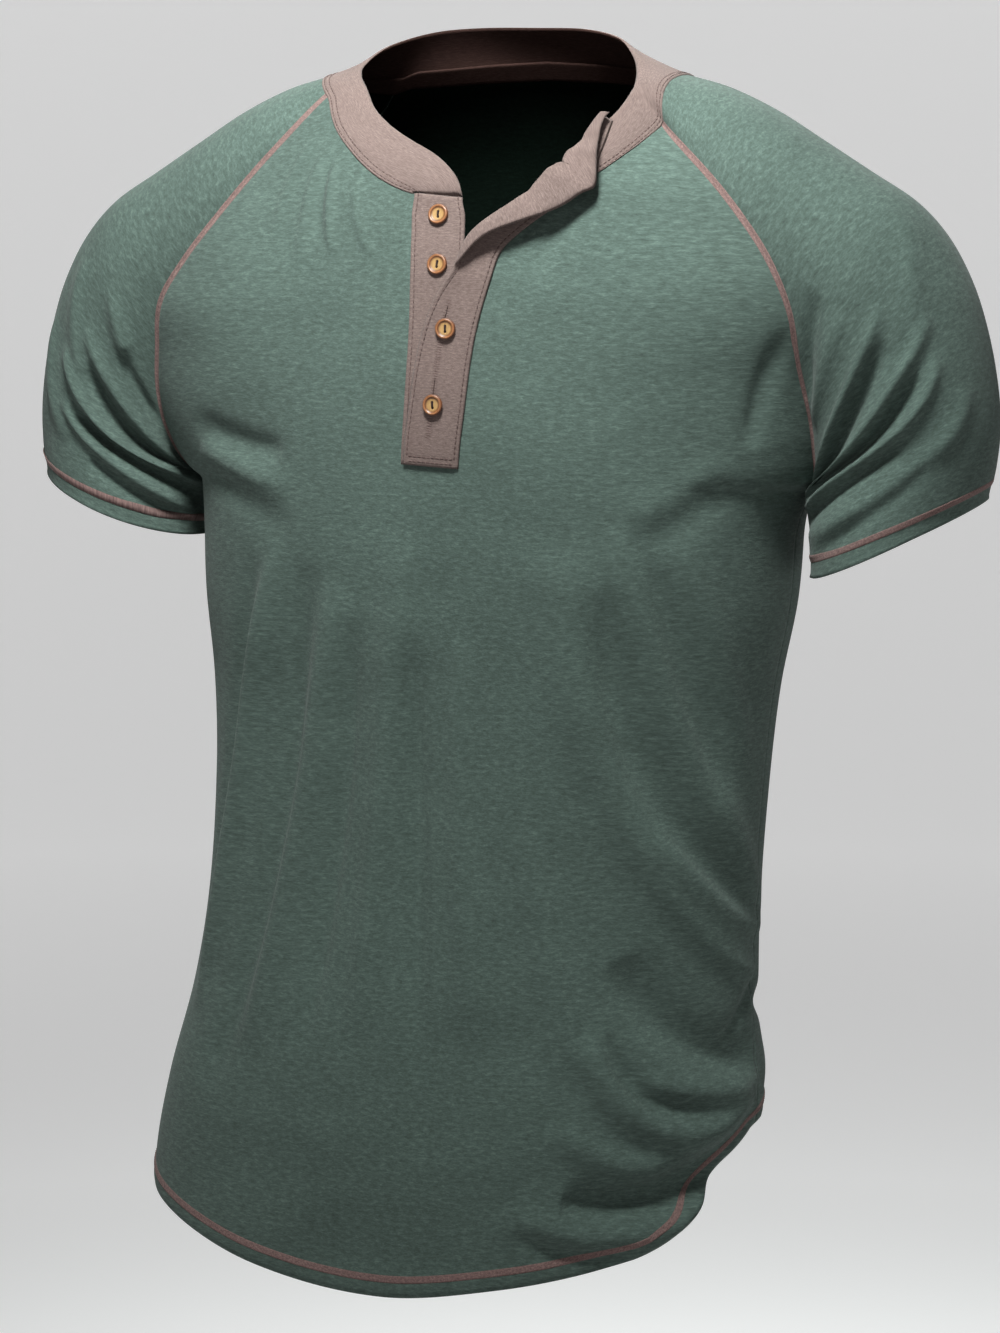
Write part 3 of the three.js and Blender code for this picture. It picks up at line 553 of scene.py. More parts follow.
# %% Panel surface
placket_bottom, armpit_sag, sag_power, skirt_bias = -211, 22, 1.6, 0.8
seam_reach, seam_snap, armpit_fade = 90, 14, 0.07
panels = {
    "front": (0.0, ((-1, "front"), (1, "front"))),
    "back": (np.pi, ((1, "back"), (-1, "back"))),
}


def panel_ends(name, v):
    """Turn, level, reach and point of both ends of every row. Below the armpit the ends swing over
    to the side seams at a quarter turn."""
    middle, seams = panels[name]
    row = armpit_row * (1 - np.maximum(v, 0))
    ends = []
    for k, (side, seam) in enumerate(seams):
        point = sleeve_point(side, row, seam_angle(side, row, seam), folded=False)
        angle, radius = body_place(point)
        below = np.clip(1 + np.minimum(v, 0) / armpit_fade, 0, 1) ** 2
        quarter = (2 * k - 1) * np.pi / 2
        swing = mix(quarter, wrap(angle - middle), below)
        flare = (radius - smooth_radius(angle, point[..., 2])) * below
        ends.append({"turn": swing, "point": point, "z": point[..., 2], "flare": flare})
    return ends


def panel_height(name, v, turn):
    """Level of the cloth: from the hem's curve up to a row that sags between the armpits, and
    from there to the neck seam's curve, by the same share of the way as the sleeve's seam."""
    middle, _ = panels[name]
    ends, armpit, top = (panel_ends(name, at) for at in (v, np.array(0.0), np.array(1.0)))
    z = np.zeros(turn.shape)
    for k, end in enumerate(ends):
        share = np.abs(turn / end["turn"][:, None])
        level = mix(placket_bottom - armpit_sag, armpit[k]["z"], np.minimum(share, 1) ** sag_power)
        climb = (v + 1)[:, None]
        eased = climb * (skirt_bias + (1 - skirt_bias) * climb)
        skirt = mix(follow(hemline, "z", np.degrees(wrap(middle + turn))), level, eased)
        rise = ((end["z"] - armpit[k]["z"]) / (top[k]["z"] - armpit[k]["z"]))[:, None]
        seam = follow(neckline, "z", np.degrees(wrap(middle + share * top[k]["turn"])))
        here = np.where(v[:, None] < 0, skirt, mix(level, seam, rise))
        z = np.where((turn < 0) == (k == 0), here, z)
    return z


def panel_points(name, v, turn, folded=True):
    """Points of a panel: the body's reach plus the flare, which fades as the square of the
    nearness to the sleeve's seam. At the seam itself the points are exactly the sleeve's."""
    middle, _ = panels[name]
    z = panel_height(name, v, turn)
    ends = panel_ends(name, v)
    radius = body_radius(middle + turn, z) if folded else smooth_radius(middle + turn, z)
    points = body_point(middle + turn, z, radius)
    for k, end in enumerate(ends):
        mine = (turn < 0) == (k == 0)
        away = np.abs(end["turn"][:, None] - turn) * body_fold_radius
        reach = np.maximum(0, 1 - away / seam_reach) ** 2
        push = body_point(middle + turn, z, radius + end["flare"][:, None] * reach)
        points = np.where(mine[..., None], push, points)
    return points


def snap_to_seams(name, v, turn, points):
    """Moves the last 14 mm at each end so that the end column lies on the sleeve's seam."""
    for k, end in enumerate(panel_ends(name, v)):
        column = 0 if k == 0 else -1
        gap = np.where((v >= 0)[:, None], end["point"] - points[:, column], 0)
        away = np.abs(end["turn"][:, None] - turn) * body_fold_radius
        pull = np.clip(1 - away / seam_snap, 0, 1) ** 2
        points = points + pull[..., None] * gap[:, None]
    return points


def slit_turns(v):
    """Turns of the two sewn edges of the front's slit, at every row."""
    turns = []
    for edge in ("stand_x", "strip_x"):
        turn = np.zeros((len(v), 1))
        for _ in range(search_rounds):
            z = panel_height("front", v, turn)
            turn = angle_at_x(follow(slit_edges, edge, z), z)
        turns.append(turn[:, 0])
    return turns


def spread(stops, counts):
    """Columns between neighbouring stops, evenly spaced, a count for each zone."""
    parts = [stops[0][:, None]]
    for low, high, count in zip(stops[:-1], stops[1:], counts):
        share = np.arange(1, count + 1) / count
        parts.append(mix(low[:, None], high[:, None], share))
    return np.concatenate(parts, axis=1)


skirt_rows, yoke_rows, slit_row = 124, 98, 138
front_zones, back_columns = (84, 17, 97), 190
v_rows = np.concatenate([np.linspace(-1, 0, skirt_rows + 1)[:-1], np.linspace(0, 1, yoke_rows + 1)])
front_left, front_right = (end["turn"] for end in panel_ends("front", v_rows))
front_turn = spread([front_left, *slit_turns(v_rows), front_right], front_zones)
front_grid = snap_to_seams("front", v_rows, front_turn, panel_points("front", v_rows, front_turn))
back_turn = spread([end["turn"] for end in panel_ends("back", v_rows)], (back_columns,))
back_grid = snap_to_seams("back", v_rows, back_turn, panel_points("back", v_rows, back_turn))
print("front", front_grid.shape[:2], "back", back_grid.shape[:2])

# %% [markdown]
# ## From grid to mesh
# A grid of points becomes a mesh of four-sided faces, each corner one step along or up. The UV
# map holds distances on the cloth in metres, so a knit drawn in it keeps its scale on every piece
# and follows the grain. A Solidify modifier gives the wall its thickness, inwards.


# %% Mesh helpers
jersey_wall = 1.3


def make_piece(name, points, faces, uv, materials=(), merge=True):
    """A smooth mesh object from points in millimetres, faces, and UV in metres. Points in the same
    place become one, unless merge is off."""
    mesh = bpy.data.meshes.new(name)
    mesh.from_pydata(points.reshape(-1, 3) * MM, [], faces)
    corners = np.zeros(len(mesh.loops), np.int32)
    mesh.loops.foreach_get("vertex_index", corners)
    mesh.uv_layers.new(name="cloth").data.foreach_set("uv", uv.reshape(-1, 2)[corners].ravel())
    if merge:
        shape = bmesh.new()
        shape.from_mesh(mesh)
        bmesh.ops.remove_doubles(shape, verts=shape.verts, dist=2e-6)
        bmesh.ops.dissolve_degenerate(shape, edges=shape.edges, dist=1e-6)
        shape.to_mesh(mesh)
        shape.free()
    mesh.shade_smooth()
    for material in materials:
        mesh.materials.append(material)
    return add_object(name, mesh)


def thicken(piece):
    """The jersey's wall, grown inwards from the outer points, with a near-black material inside that paints
    the shade of the shirt's inside.
    """
    wall = piece.modifiers.new("wall", "SOLIDIFY")
    wall.thickness = jersey_wall * MM
    wall.offset = -1
    wall.material_offset = 1
    wall.use_quality_normals = True


def keep(piece, node=None):
    """Rides on the shirt's one body, and may stand for a CAD node, which is then hidden."""
    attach(piece, "root")
    if node:
        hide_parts(node)


def body_uv(grid, angle):
    """Distance round the body at its average reach, and the level, in metres."""
    return np.stack([angle * body_fold_radius * MM, grid[..., 2] * MM], axis=-1)


# %% [markdown]
# ## Cloth, thread and wood
# Heathered jersey is spun from fibres of several shades, so up close it is made of short streaks
# that lie along the knitted rows. Two noise patterns, stretched along the rows, give slubs and
# shorter flecks, and both raise a slight bump. A third, much wider one gives a slow change of
# shade. Sheen softens the edges of folds, as fine fibres on a matt knit do.


# %% Shader helpers
def stretched_noise(tree, source, scale, detail):
    """Noise over the cloth map, with its own number of marks a metre in each direction."""
    mapping = add_node(tree, "ShaderNodeMapping", Scale=(*scale, 1))
    noise = add_node(tree, "ShaderNodeTexNoise", Scale=1.0, Detail=detail, Roughness=0.6, Distortion=0.35)
    tree.links.new(source, mapping.inputs["Vector"])
    tree.links.new(mapping.outputs["Vector"], noise.inputs["Vector"])
    return noise.outputs["Fac"]


def ramp(tree, fac, *stops):
    """Colours along a value: each stop is a place and a colour."""
    node = add_node(tree, "ShaderNodeValToRGB")
    elements = node.color_ramp.elements
    while len(elements) < len(stops):
        elements.new(0.5)
    for element, (place, color) in zip(elements, stops):
        element.position = place
        element.color = (*color, 1)
    tree.links.new(fac, node.inputs["Fac"])
    return node.outputs["Color"]


def grey(value):
    """A colour with the same red, green and blue."""
    return (value, value, value)


def blend(tree, kind, share, first, second):
    """Two colours or values joined in the given way, by a fixed share."""
    node = add_node(tree, "ShaderNodeMix", data_type="RGBA", blend_type=kind)
    factor, low, high = ([s for s in node.inputs if s.name == label and s.enabled][0]
                         for label in ("Factor", "A", "B"))
    factor.default_value = share
    tree.links.new(first, low)
    tree.links.new(second, high)
    return [s for s in node.outputs if s.enabled][0]


def bump(tree, shader, height, strength, distance):
    """A bump on the shader from a height, in metres at full strength."""
    node = add_node(tree, "ShaderNodeBump", Strength=strength, Distance=distance)
    tree.links.new(height, node.inputs["Height"])
    tree.links.new(node.outputs["Normal"], shader.inputs["Normal"])


def srgb(red, green, blue):
    """A screen colour from 0 to 255 as the linear colour that shaders use."""
    value = np.array([red, green, blue]) / 255
    return tuple(np.where(value <= 0.04045, value / 12.92, ((value + 0.055) / 1.055) ** 2.4))


# %% Jersey and band knit
def knit(name, dark, middle, light, streak=(170, 560), sheen=0.05, gloss=0.12):
    """Heathered knit: slubs and shorter flecks along the rows, over a slow change of shade. The
    streak is the number of slubs a metre along the rows and across them."""
    material, tree, shader = new_material(name, 0.93, sheen, gloss)
    cloth = add_node(tree, "ShaderNodeUVMap", uv_map="cloth").outputs["UV"]
    slub = stretched_noise(tree, cloth, streak, 4)
    fleck = stretched_noise(tree, cloth, (streak[0] * 3, streak[1] * 2.2), 2)
    cloud = stretched_noise(tree, cloth, (9, 22), 2)
    base = ramp(tree, slub, (0.22, dark), (0.52, middle), (0.82, light))
    flecks = ramp(tree, fleck, (0.3, grey(0.34)), (0.7, grey(0.66)))
    shade = ramp(tree, cloud, (0.3, grey(0.44)), (0.7, grey(0.56)))
    flecked = blend(tree, "OVERLAY", 0.5, base, flecks)
    tree.links.new(blend(tree, "OVERLAY", 0.8, flecked, shade), shader.inputs["Base Color"])
    bump(tree, shader, blend(tree, "MIX", 0.5, slub, fleck), 0.5, 0.0006)
    return material


fine, finer, finest = (330, 1150), (600, 500), (900, 900)
green = knit("sage_jersey", srgb(59, 70, 65), srgb(74, 88, 82), srgb(93, 109, 102))
# The inside of the jersey is a near-black copy of the knit: painted shade for the shirt's inside.
green_painted_shade = knit("jersey_inside_painted_shade", srgb(4, 9, 6), srgb(7, 14, 10), srgb(11, 20, 16),
                    sheen=0, gloss=0.02)
mauve = knit("band_knit", srgb(84, 70, 67), srgb(104, 89, 85), srgb(126, 110, 105), fine)
# The collar's inside and the neck tape get a dark copy of the band knit: painted shade inside the neck.
mauve_painted_shade = knit("band_inside_painted_shade", srgb(35, 24, 21), srgb(47, 33, 30), srgb(60, 45, 41), fine, 0, 0.02)
thread = knit("coverstitch_thread", srgb(80, 62, 60), srgb(112, 90, 87), srgb(140, 116, 111), finer)
top_thread = knit("topstitch_thread", srgb(66, 52, 50), srgb(88, 71, 68), srgb(112, 94, 90), finer)
# Dark thread for the buttons, also used as painted shade in the open buttonhole slits.
dark_thread_and_slit_shade = knit("button_thread", srgb(30, 20, 18), srgb(48, 34, 31), srgb(66, 48, 44), finest)
print(len(bpy.data.materials), "materials so far")

# %% [markdown]
# ## The panels
# The hems are folded up and stitched, so the last 10 mm are double. That shows as a slightly
# raised band that ends at the stitching and is rounded off at the very edge. The front's slit is
# left open by leaving out its faces.

# %% Panels
hem_depth, hem_raise, hem_blend = 10.5, 0.7, 2.0
hem_edge_width, hem_edge_drop = 1.2, 0.5


def run_from_edges(grid):
    """Distances of every point to both end edges, and to both side edges, along the grid."""
    found = []
    for axis in (0, 1):
        steps = np.linalg.norm(np.diff(grid, axis=axis), axis=-1)
        run = np.cumsum(steps, axis=axis)
        run = np.concatenate([np.zeros_like(np.take(run, [0], axis=axis)), run], axis=axis)
        total = np.take(run, [-1], axis=axis)
        found.append((run, total - run))
    return found


def raise_hem(grid, distance, flip=False):
    """Moves the points near a hem outwards by the fold's thickness, up to the stitching."""
    inside = np.clip((hem_depth - distance) / hem_blend + 0.5, 0, 1)
    relief = hem_raise * ease(inside) - hem_edge_drop * np.exp(-(distance / hem_edge_width) ** 2)
    return grid + normals_of(grid, flip) * relief[..., None]


front_grid = raise_hem(front_grid, front_grid[..., 2] - front_grid[:1, :, 2])
back_grid = raise_hem(back_grid, back_grid[..., 2] - back_grid[:1, :, 2])
stand_column, strip_column = front_zones[0], sum(front_zones[:2])
front_faces = quads(front_grid).reshape(len(v_rows) - 1, -1, 4)
filled = np.ones(front_faces.shape[:2], bool)
filled[slit_row:, stand_column:strip_column] = False
for name, grid, faces, turn, flat, area in (
    ("front", front_grid, front_faces[filled], front_turn, (0.51, 0.66), 0.287),
    ("back", back_grid, quads(back_grid), np.pi + back_turn, (0.51, 0.74), 0.285),
):
    piece = make_piece(f"{name}_panel", grid, faces, body_uv(grid, turn), (green, green_painted_shade))
    thicken(piece)
    keep(piece, name)
    print(piece.name, len(piece.data.polygons), "faces")


# %% Sleeves
cuff_rows, sleeve_columns, seam_settle = 26, 150, 10
sleeve_cuts = {1: ("left", (0.4, 0.31), 0.089), -1: ("right", (0.4, 0.295), 0.083)}


def sleeve_grid(side):
    """Points and cloth map of a sleeve: rows from the neck to the hem, columns from the back seam
    over the ridge to the front. The folds fade out towards the raglan seams."""
    above = np.linspace(0, armpit_row, yoke_rows + 1)
    row = np.concatenate([above, np.linspace(armpit_row, hem_row[side], cuff_rows + 1)[1:]])
    low, high = seam_angle(side, row, "back")[:, None], seam_angle(side, row, "front")[:, None]
    angle = mix(low, high, np.linspace(0, 1, sleeve_columns + 1))
    below = np.maximum(row - armpit_row, 0)[:, None] / (hem_row[side] - armpit_row)
    row = row[:, None] - below * hem_tuck[side] * (1 - np.sin(angle)) / 2
    seam = np.minimum(np.abs(angle - low), np.abs(high - angle)) * sleeve_fold_radius
    folded = np.where(below > 0, 1, np.clip(seam / seam_settle, 0, 1))[..., None]
    grid = mix(sleeve_point(side, row, angle, folded=False), sleeve_point(side, row, angle), folded)
    uv = np.stack([angle * sleeve_fold_radius, -row * sleeve_fold_step], axis=-1) * MM
    return grid, uv


sleeves = {}
for side, (name, flat, area) in sleeve_cuts.items():
    grid, uv = sleeve_grid(side)
    to_hem = run_from_edges(grid)[0][1]
    sleeves[side] = raise_hem(grid, to_hem, flip=side > 0)
    faces = quads(grid, flip=side < 0)
    piece = make_piece(f"sleeve_{name}_cloth", sleeves[side], faces, uv, (green, green_painted_shade))
    thicken(piece)
    keep(piece, f"sleeve_{name}")
    print(piece.name, len(piece.data.polygons), "faces")

# %% [markdown]
# ## Bands: collar and plackets
# A band is knit folded double, so its edges are round and its two faces meet in a fold. It is
# built as two sheets over one grid. They stand half a thickness either side of the middle, and
# close in on each other as a quarter ellipse near every edge. Rows of topstitching press shallow
# grooves into the band.


# %% Band helpers
band_thickness = 2.0
# Rows of topstitching: the distance from an edge, an end edge (0) or a side edge (1), the first
# (0) or the last (1) of the two, and the points left unstitched at the row's start and its end
stitching = {
    "collar": [(2.4, 0, 0, 0, 0), (5.2, 0, 0, 0, 0)],
    "stand": [(3.0, 1, 0, 4, 0), (2.6, 1, 1, 8, 0)],
    "strip": [(2.6, 1, 0, 4, 4), (2.6, 1, 1, 4, 4), (2.4, 0, 0, 3, 3), (5.2, 0, 0, 3, 3)],
}


def path_run(points):
    """Distance along a path at each of its points."""
    return np.concatenate([[0], np.cumsum(np.linalg.norm(np.diff(points, axis=0), axis=1))])


def read_at(at, run, values):
    """Values known at the distances run, blended at other distances."""
    return np.stack([np.interp(at, run, column) for column in values.T], axis=-1)


def even(points, step, *others):
    """A path, and values given along it, at points an even step apart."""
    run = path_run(points)
    at = np.linspace(0, run[-1], int(np.ceil(run[-1] / step)) + 1)
    return at, *(read_at(at, run, values) for values in (points, *others))


def calm(values, passes):
    """Each value blended with its neighbours, a few times over, with the two ends kept."""
    for _ in range(passes):
        middle = (values[:-2] + 2 * values[1:-1] + values[2:]) / 4
        values = np.concatenate([values[:1], middle, values[-1:]])
    return values


def near_ends(count, weight=0.45):
    """Shares from 0 to 1 that lie closer together towards both ends."""
    share = np.linspace(0, 1, count)
    return mix(share, (1 - np.cos(np.pi * share)) / 2, weight)


def groove(distance, at, width=0.7, depth=0.3):
    """A shallow bell-shaped groove at a distance from an edge."""
    return -depth * np.exp(-((distance - at) / width) ** 2)


def stitch_grooves(name, grid):
    """The grooves that a band's rows of topstitching press into it."""
    runs = run_from_edges(grid)
    return sum(groove(runs[axis][end], at) for at, axis, end, *_ in stitching[name])


def grid_uv(grid):
    """Distances along a grid's rows and columns, in metres."""
    (up, _), (along, _) = run_from_edges(grid)
    return np.stack([along, up], axis=-1) * MM


def double_band(name, grid, relief, materials, thickness=band_thickness, rim=1.2):
    """Two sheets over a grid of outer points. Half the thickness times the square root of
    1 - (1 - d / rim)^2 sets how far each stands from the middle, d being the distance to the
    nearest edge, so both come to the same line at the edges. The lower sheet takes the second
    material, if there is one."""
    outward = normals_of(grid)
    sides = [np.minimum(*pair) for pair in run_from_edges(grid)]
    depth = np.clip(np.minimum(*sides) / rim, 0, 1)
    half = thickness / 2 * np.sqrt(np.clip(1 - (1 - depth) ** 2, 0, 1))
    middle = grid - outward * thickness / 2
    top = middle + outward * (half + relief * depth)[..., None]
    bottom = middle - outward * half[..., None]
    faces = quads(grid)
    both = np.concatenate([faces, faces[:, ::-1] + half.size])
    piece = make_piece(name, np.stack([top, bottom]), both, np.stack([grid_uv(grid)] * 2), materials)
    if len(materials) > 1:
        marks = np.repeat([0, 1], len(faces)).astype(np.int32)
        piece.data.polygons.foreach_set("material_index", marks)
    return piece

# %% [markdown]
# ## Band collar
# The collar stands on the neck seam. Its lower edge is the seam itself, taken from the panels and
# sleeves, its upper edge is a table by the direction from the neck, and it swells a little between
# the two. It laps a little way down over the jersey, as it is sewn on top of it.

# %% Collar
collar_top = table("angle x y z", [
    (43, 85, -62, -26), (55, 90, -51, -17), (70, 90, -33, -7), (90, 83, -8, 5), (112, 73, 10, 15),
    (135, 58, 29, 23), (158, 32, 45, 28), (180, 0, 51, 29), (205, -38, 51, 29), (228, -65, 42, 26),
    (248, -84, 22, 18), (270, -88, -5, 7), (285, -82, -24, 0), (295, -73, -38, -7),
    (305, -61, -54, -19), (316, -46, -66, -29), (328, -30, -75, -37), (338, -12, -84, -45),
    (344, 0, -91, -53), (347, 7, -95, -61), (349, 11, -98, -72),
])
band_crown, collar_lap, collar_lift, lap_sink = 2, 1.6, 0.9, 0.15
rib_place, rib_width, rib_depth = 8.5, 1.1, 0.45


def neck_line(depth):
    """Points a number of rows below the neck seam, from the buttonhole strip round the back."""
    top = front_grid[-1 - depth]
    return np.concatenate([
        top[strip_column:],
        sleeves[1][depth][::-1][1:],
        back_grid[-1 - depth][1:],
        sleeves[-1][depth][1:],
        top[1:stand_column + 1],
    ])


seam_run, seam_line, under_line = even(neck_line(0), 1.25, neck_line(4))
seam_line = calm(seam_line, 12)
seam_down = unit(calm(unit(under_line - seam_line), 30))
seam_along = unit(calm(np.gradient(seam_line, axis=0), 6))
seam_out = unit(np.cross(seam_down, seam_along))
collar_turn = calm(np.degrees(body_place(seam_line)[0]) % 360, 60)
collar_edge = np.stack([follow(collar_top, name, collar_turn) for name in "xyz"], axis=-1)
swell_way = np.radians(collar_turn)
swell_way = np.stack([np.sin(swell_way), -np.cos(swell_way), 0 * swell_way], axis=-1)
rise = near_ends(22)[:, None, None]
collar_body = mix(seam_line, collar_edge, rise)
collar_body = collar_body + swell_way * band_crown * 4 * rise * (1 - rise)
collar_body = collar_body + seam_out * collar_lift * (1 - rise) ** 2
lap_share = np.array([1, 0.6, 0.25])[:, None, None]
lap_rows = seam_line + seam_down * collar_lap * lap_share + seam_out * (collar_lift - lap_sink * lap_share)
collar_grid = np.concatenate([lap_rows, collar_body])
collar_up, collar_down = run_from_edges(collar_grid)[0]
collar_relief = stitch_grooves("collar", collar_grid) + groove(collar_down, rib_place, rib_width, rib_depth)
# The collar's inner sheet takes the dark band knit, painted shade inside the neck.
collar = double_band("collar_band", collar_grid, collar_relief, (mauve, mauve_painted_shade))
keep(collar, "collar")
print("collar", round(seam_run[-1]), "mm round,", round(float(collar_up[-1].mean())), "mm high")

# %% [markdown]
# ## Button stand
# The under placket fills the slit in the front. It lies level with the cloth, sewn along its left
# edge as the photograph shows it, with its other edge free. At the neck it meets the end of the
# collar, so the difference between the two is faded in over its last 14 mm.

# %% Button stand
placket_width, stand_lap, stand_lift = 31, 1.8, 0.6
stand_below, neck_fade = 3.0, 14
stand_edge = front_grid[slit_row:, stand_column] * [1, 0, 1]
stand_rows = even(stand_edge, 1.5)[1]
stand_rows = np.concatenate([stand_rows[:1] - [0, 0, stand_below], stand_rows])
stand_across = mix(-stand_lap, placket_width, near_ends(26))
x = stand_rows[:, 0, None] + stand_across
z = stand_rows[:, 2, None] + 0 * stand_across
angle = angle_at_x(x, z)
stand_grid = body_point(angle, z, body_radius(angle, z) + stand_lift)
collar_end = even(collar_grid[2:, -1], 0.5)[1]
end_share = np.clip(stand_across / placket_width, 0, 1)
end_line = read_at(end_share * (len(collar_end) - 1), np.arange(len(collar_end)), collar_end)
to_neck = np.linalg.norm(stand_rows - stand_rows[-1], axis=1)
fade = ease(np.clip(1 - to_neck / neck_fade, 0, 1))[:, None, None]
stand_grid = stand_grid + (end_line - stand_grid[-1]) * fade
stand = double_band("placket_under_band", stand_grid, stitch_grooves("stand", stand_grid), (mauve,))
keep(stand, "placket_under")
print("button stand", stand_grid.shape[:2])

# %% [markdown]
# ## Buttonhole strip
# The over placket is a long band sewn to the front's edge and on to the collar's end. Below it
# lies flat over the stand. Near the neck it is unbuttoned, so it rolls back on itself like a
# lapel. Each cross section is a Bezier curve from the sewn edge over the roll line to the free
# edge, and a table says how far both lie from the seam and how high.

# %% Buttonhole strip
strip_sections = table("along roll edge roll_lift edge_lift", [
    (-3, 15.5, 31, 0, 0), (45, 15.5, 30.5, 0, 0.5), (73, 15, 28, 0.4, 2), (88, 14.5, 25, 0.8, 3),
    (100, 14.5, 21, 1.6, 3.6), (110, 15, 16, 3.4, 5), (120, 15, 10, 6, 8), (132, 12, 3, 8, 10),
    (150, 10, -4, 8, 9), (170, 12.5, -9, 7, 8), (188, 13.5, -8, 6, 7), (203, 9, -3, 5, 6),
    (218, 5.5, 0, 4, 5), (232, 3, 0.5, 2.2, 3), (243, 1, 0.5, 0.6, 1),
])
strip_folds = [
    (4, 150, 15, 158, 30, 150, 4, 1.0),
    (6, 164, 18, 174, 32, 176, 4, -1.2),
    (5, 178, 16, 186, 32, 190, 3.5, 1.3),
    (8, 190, 20, 199, 32, 200, 3, -1.1),
    (4, 202, 14, 208, 28, 214, 4, 0.9),
]
strip_lift, strip_lap, strip_sink = 2.5, 3.0, 0.6
chest_past, chest_fade, roll_top = 4, 12, 1.2


def cubic(t, first, second, last):
    """A Bezier curve from 0: 3*first*t*(1 - t)^2 + 3*second*t^2*(1 - t) + last*t^3."""
    return 3 * first * t * (1 - t) ** 2 + 3 * second * t * t * (1 - t) + last * t ** 3


chest_path = front_grid[slit_row:, strip_column]
chest_right = front_grid[slit_row:, strip_column + 1] - chest_path
collar_path = collar_grid[3:, 0]
collar_right = collar_grid[3:, 1] - collar_path
path = np.concatenate([chest_path, collar_path[1:]])
side_way = unit(np.concatenate([chest_right, collar_right[1:]]))
path = np.concatenate([path[:1] + unit(path[:1] - path[1:2]) * strip_lap, path])
strip_run, path, side_way = even(path, 1.2, np.concatenate([side_way[:1], side_way]))
path = calm(path, 3)
strip_run = strip_run - strip_lap
strip_along = unit(calm(np.gradient(path, axis=0), 8))
strip_out = unit(np.cross(unit(calm(side_way, 14)), strip_along))[:, None]
strip_towards = unit(np.cross(strip_out, strip_along[:, None]))
section = {name: follow(strip_sections, name, strip_run)[:, None] for name in strip_sections}
t = near_ends(30, 0.3)[None, :]
pull = (section["roll"] - section["edge"] / 8) / 0.75
reach = cubic(t, pull, pull, section["edge"])
lift = cubic(t, section["roll_lift"] / 3, section["roll_lift"] * roll_top, section["edge_lift"])
flat = path[:, None] + strip_towards * reach[..., None]
angle = body_place(flat)[0]
chest = body_point(angle, flat[..., 2], body_radius(angle, flat[..., 2]))
chest_run = path_run(chest_path)[-1]
on_chest = ease(np.clip((chest_run + chest_past - strip_run) / chest_fade, 0, 1))[:, None, None]
strip_base = mix(flat, chest, on_chest) + strip_out * (strip_lift + lift)[..., None]
lap_reach = strip_lap * np.array([1, 0.66, 0.33])[None, :, None]
strip_laps = path[:, None] - strip_towards * lap_reach + strip_out * (strip_lift - strip_sink)
strip_grid = calm(np.concatenate([strip_laps, strip_base], axis=1)[:, ::-1], 2)
strip_sewn = run_from_edges(strip_grid)[1][1]
strip_level = strip_run[:, None] + 0 * strip_sewn
crumple = sum(crease(strip_sewn, strip_level, fold[:2], fold[2:4], fold[4:6], *fold[6:])
              for fold in strip_folds)
strip_grid = strip_grid + normals_of(strip_grid) * crumple[..., None]
strip = double_band("placket_over_band", strip_grid, stitch_grooves("strip", strip_grid), (mauve,))
keep(strip, "placket_over")
print("buttonhole strip", strip_grid.shape[:2], "along", round(strip_run[-1]), "mm")

# %% [markdown]
# ## Neck tape
# A flat tape covers the back neck seam inside, from shoulder to shoulder. It follows the seam a
# little below it, set inwards by the wall of the cloth.

# %% Neck tape
tape_rows = np.linspace(-2.6, 12, 11)
tape_inset, tape_thickness, tape_rim = 2.0, 0.9, 0.5
ridge = sleeves[1].shape[1] // 2


def back_neck(depth):
    """The back part of the neck seam, or points some rows below it, from shoulder to shoulder."""
    return np.concatenate([
        sleeves[1][depth][:ridge][::-1],
        back_grid[-1 - depth][1:-1],
        sleeves[-1][depth][:ridge],
    ])


_, tape_seam, tape_below = even(back_neck(0), 1.5, back_neck(7))
tape_down = unit(calm(unit(tape_below - tape_seam), 6))
tape_out = unit(np.cross(tape_down, unit(np.gradient(tape_seam, axis=0))))
tape_grid = tape_seam + tape_down * tape_rows[::-1, None, None] - tape_out * tape_inset
# The tape is made in the dark band knit, painted shade inside the neck.
tape = double_band("neck_tape_band", tape_grid, 0, (mauve_painted_shade,), tape_thickness, tape_rim)
keep(tape, "neck_tape")
print("neck tape", tape_grid.shape[:2])

# %% [markdown]
# ## Coverstitch
# Two needles and a looper sew a flat band of thread over the raglan seams and the hems. On the
# face of the cloth it shows as two raised lines with threads that cross between them. It is made
# as a profile carried along the seam. Each point is taken from the cloth on its own side of the
# seam, so the band lies on both pieces, and it is closed underneath.


# %% Coverstitch helpers
stitch_width, stitch_pitch, stitch_step = 4.6, 2.8, 0.55
thread_height, stitch_crown, stitch_bed = 0.22, 0.34, 0.12


def pick(grid, rows, columns):
    """Points of a grid at row and column numbers that may lie between its own, blended."""
    rows, columns = np.broadcast_arrays(rows, columns)
    i = np.clip(np.floor(rows).astype(int), 0, grid.shape[0] - 2)
    j = np.clip(np.floor(columns).astype(int), 0, grid.shape[1] - 2)
    a, b = (rows - i)[..., None], (columns - j)[..., None]
    return mix(mix(grid[i, j], grid[i, j + 1], b), mix(grid[i + 1, j], grid[i + 1, j + 1], b), a)


def bell(distance, width):
    """One at no distance, fading away on both sides."""
    return np.exp(-(distance / width) ** 2)


def thread_relief(across, along):
    """Height of the threads. across runs from -1 to 1 over the band and along counts stitches: a
    raised line at either edge, and two zigzags that swing between them half a stitch apart."""
    swing = 0.75 * (4 * np.abs((along % 1) - 0.5) - 1)
    cross = bell(across - swing, 0.22) + bell(across + swing, 0.22)
    lines = bell(np.abs(across) - 0.72, 0.2) * (0.8 + 0.2 * np.cos(4 * np.pi * along))
    return thread_height * np.maximum(cross, lines)


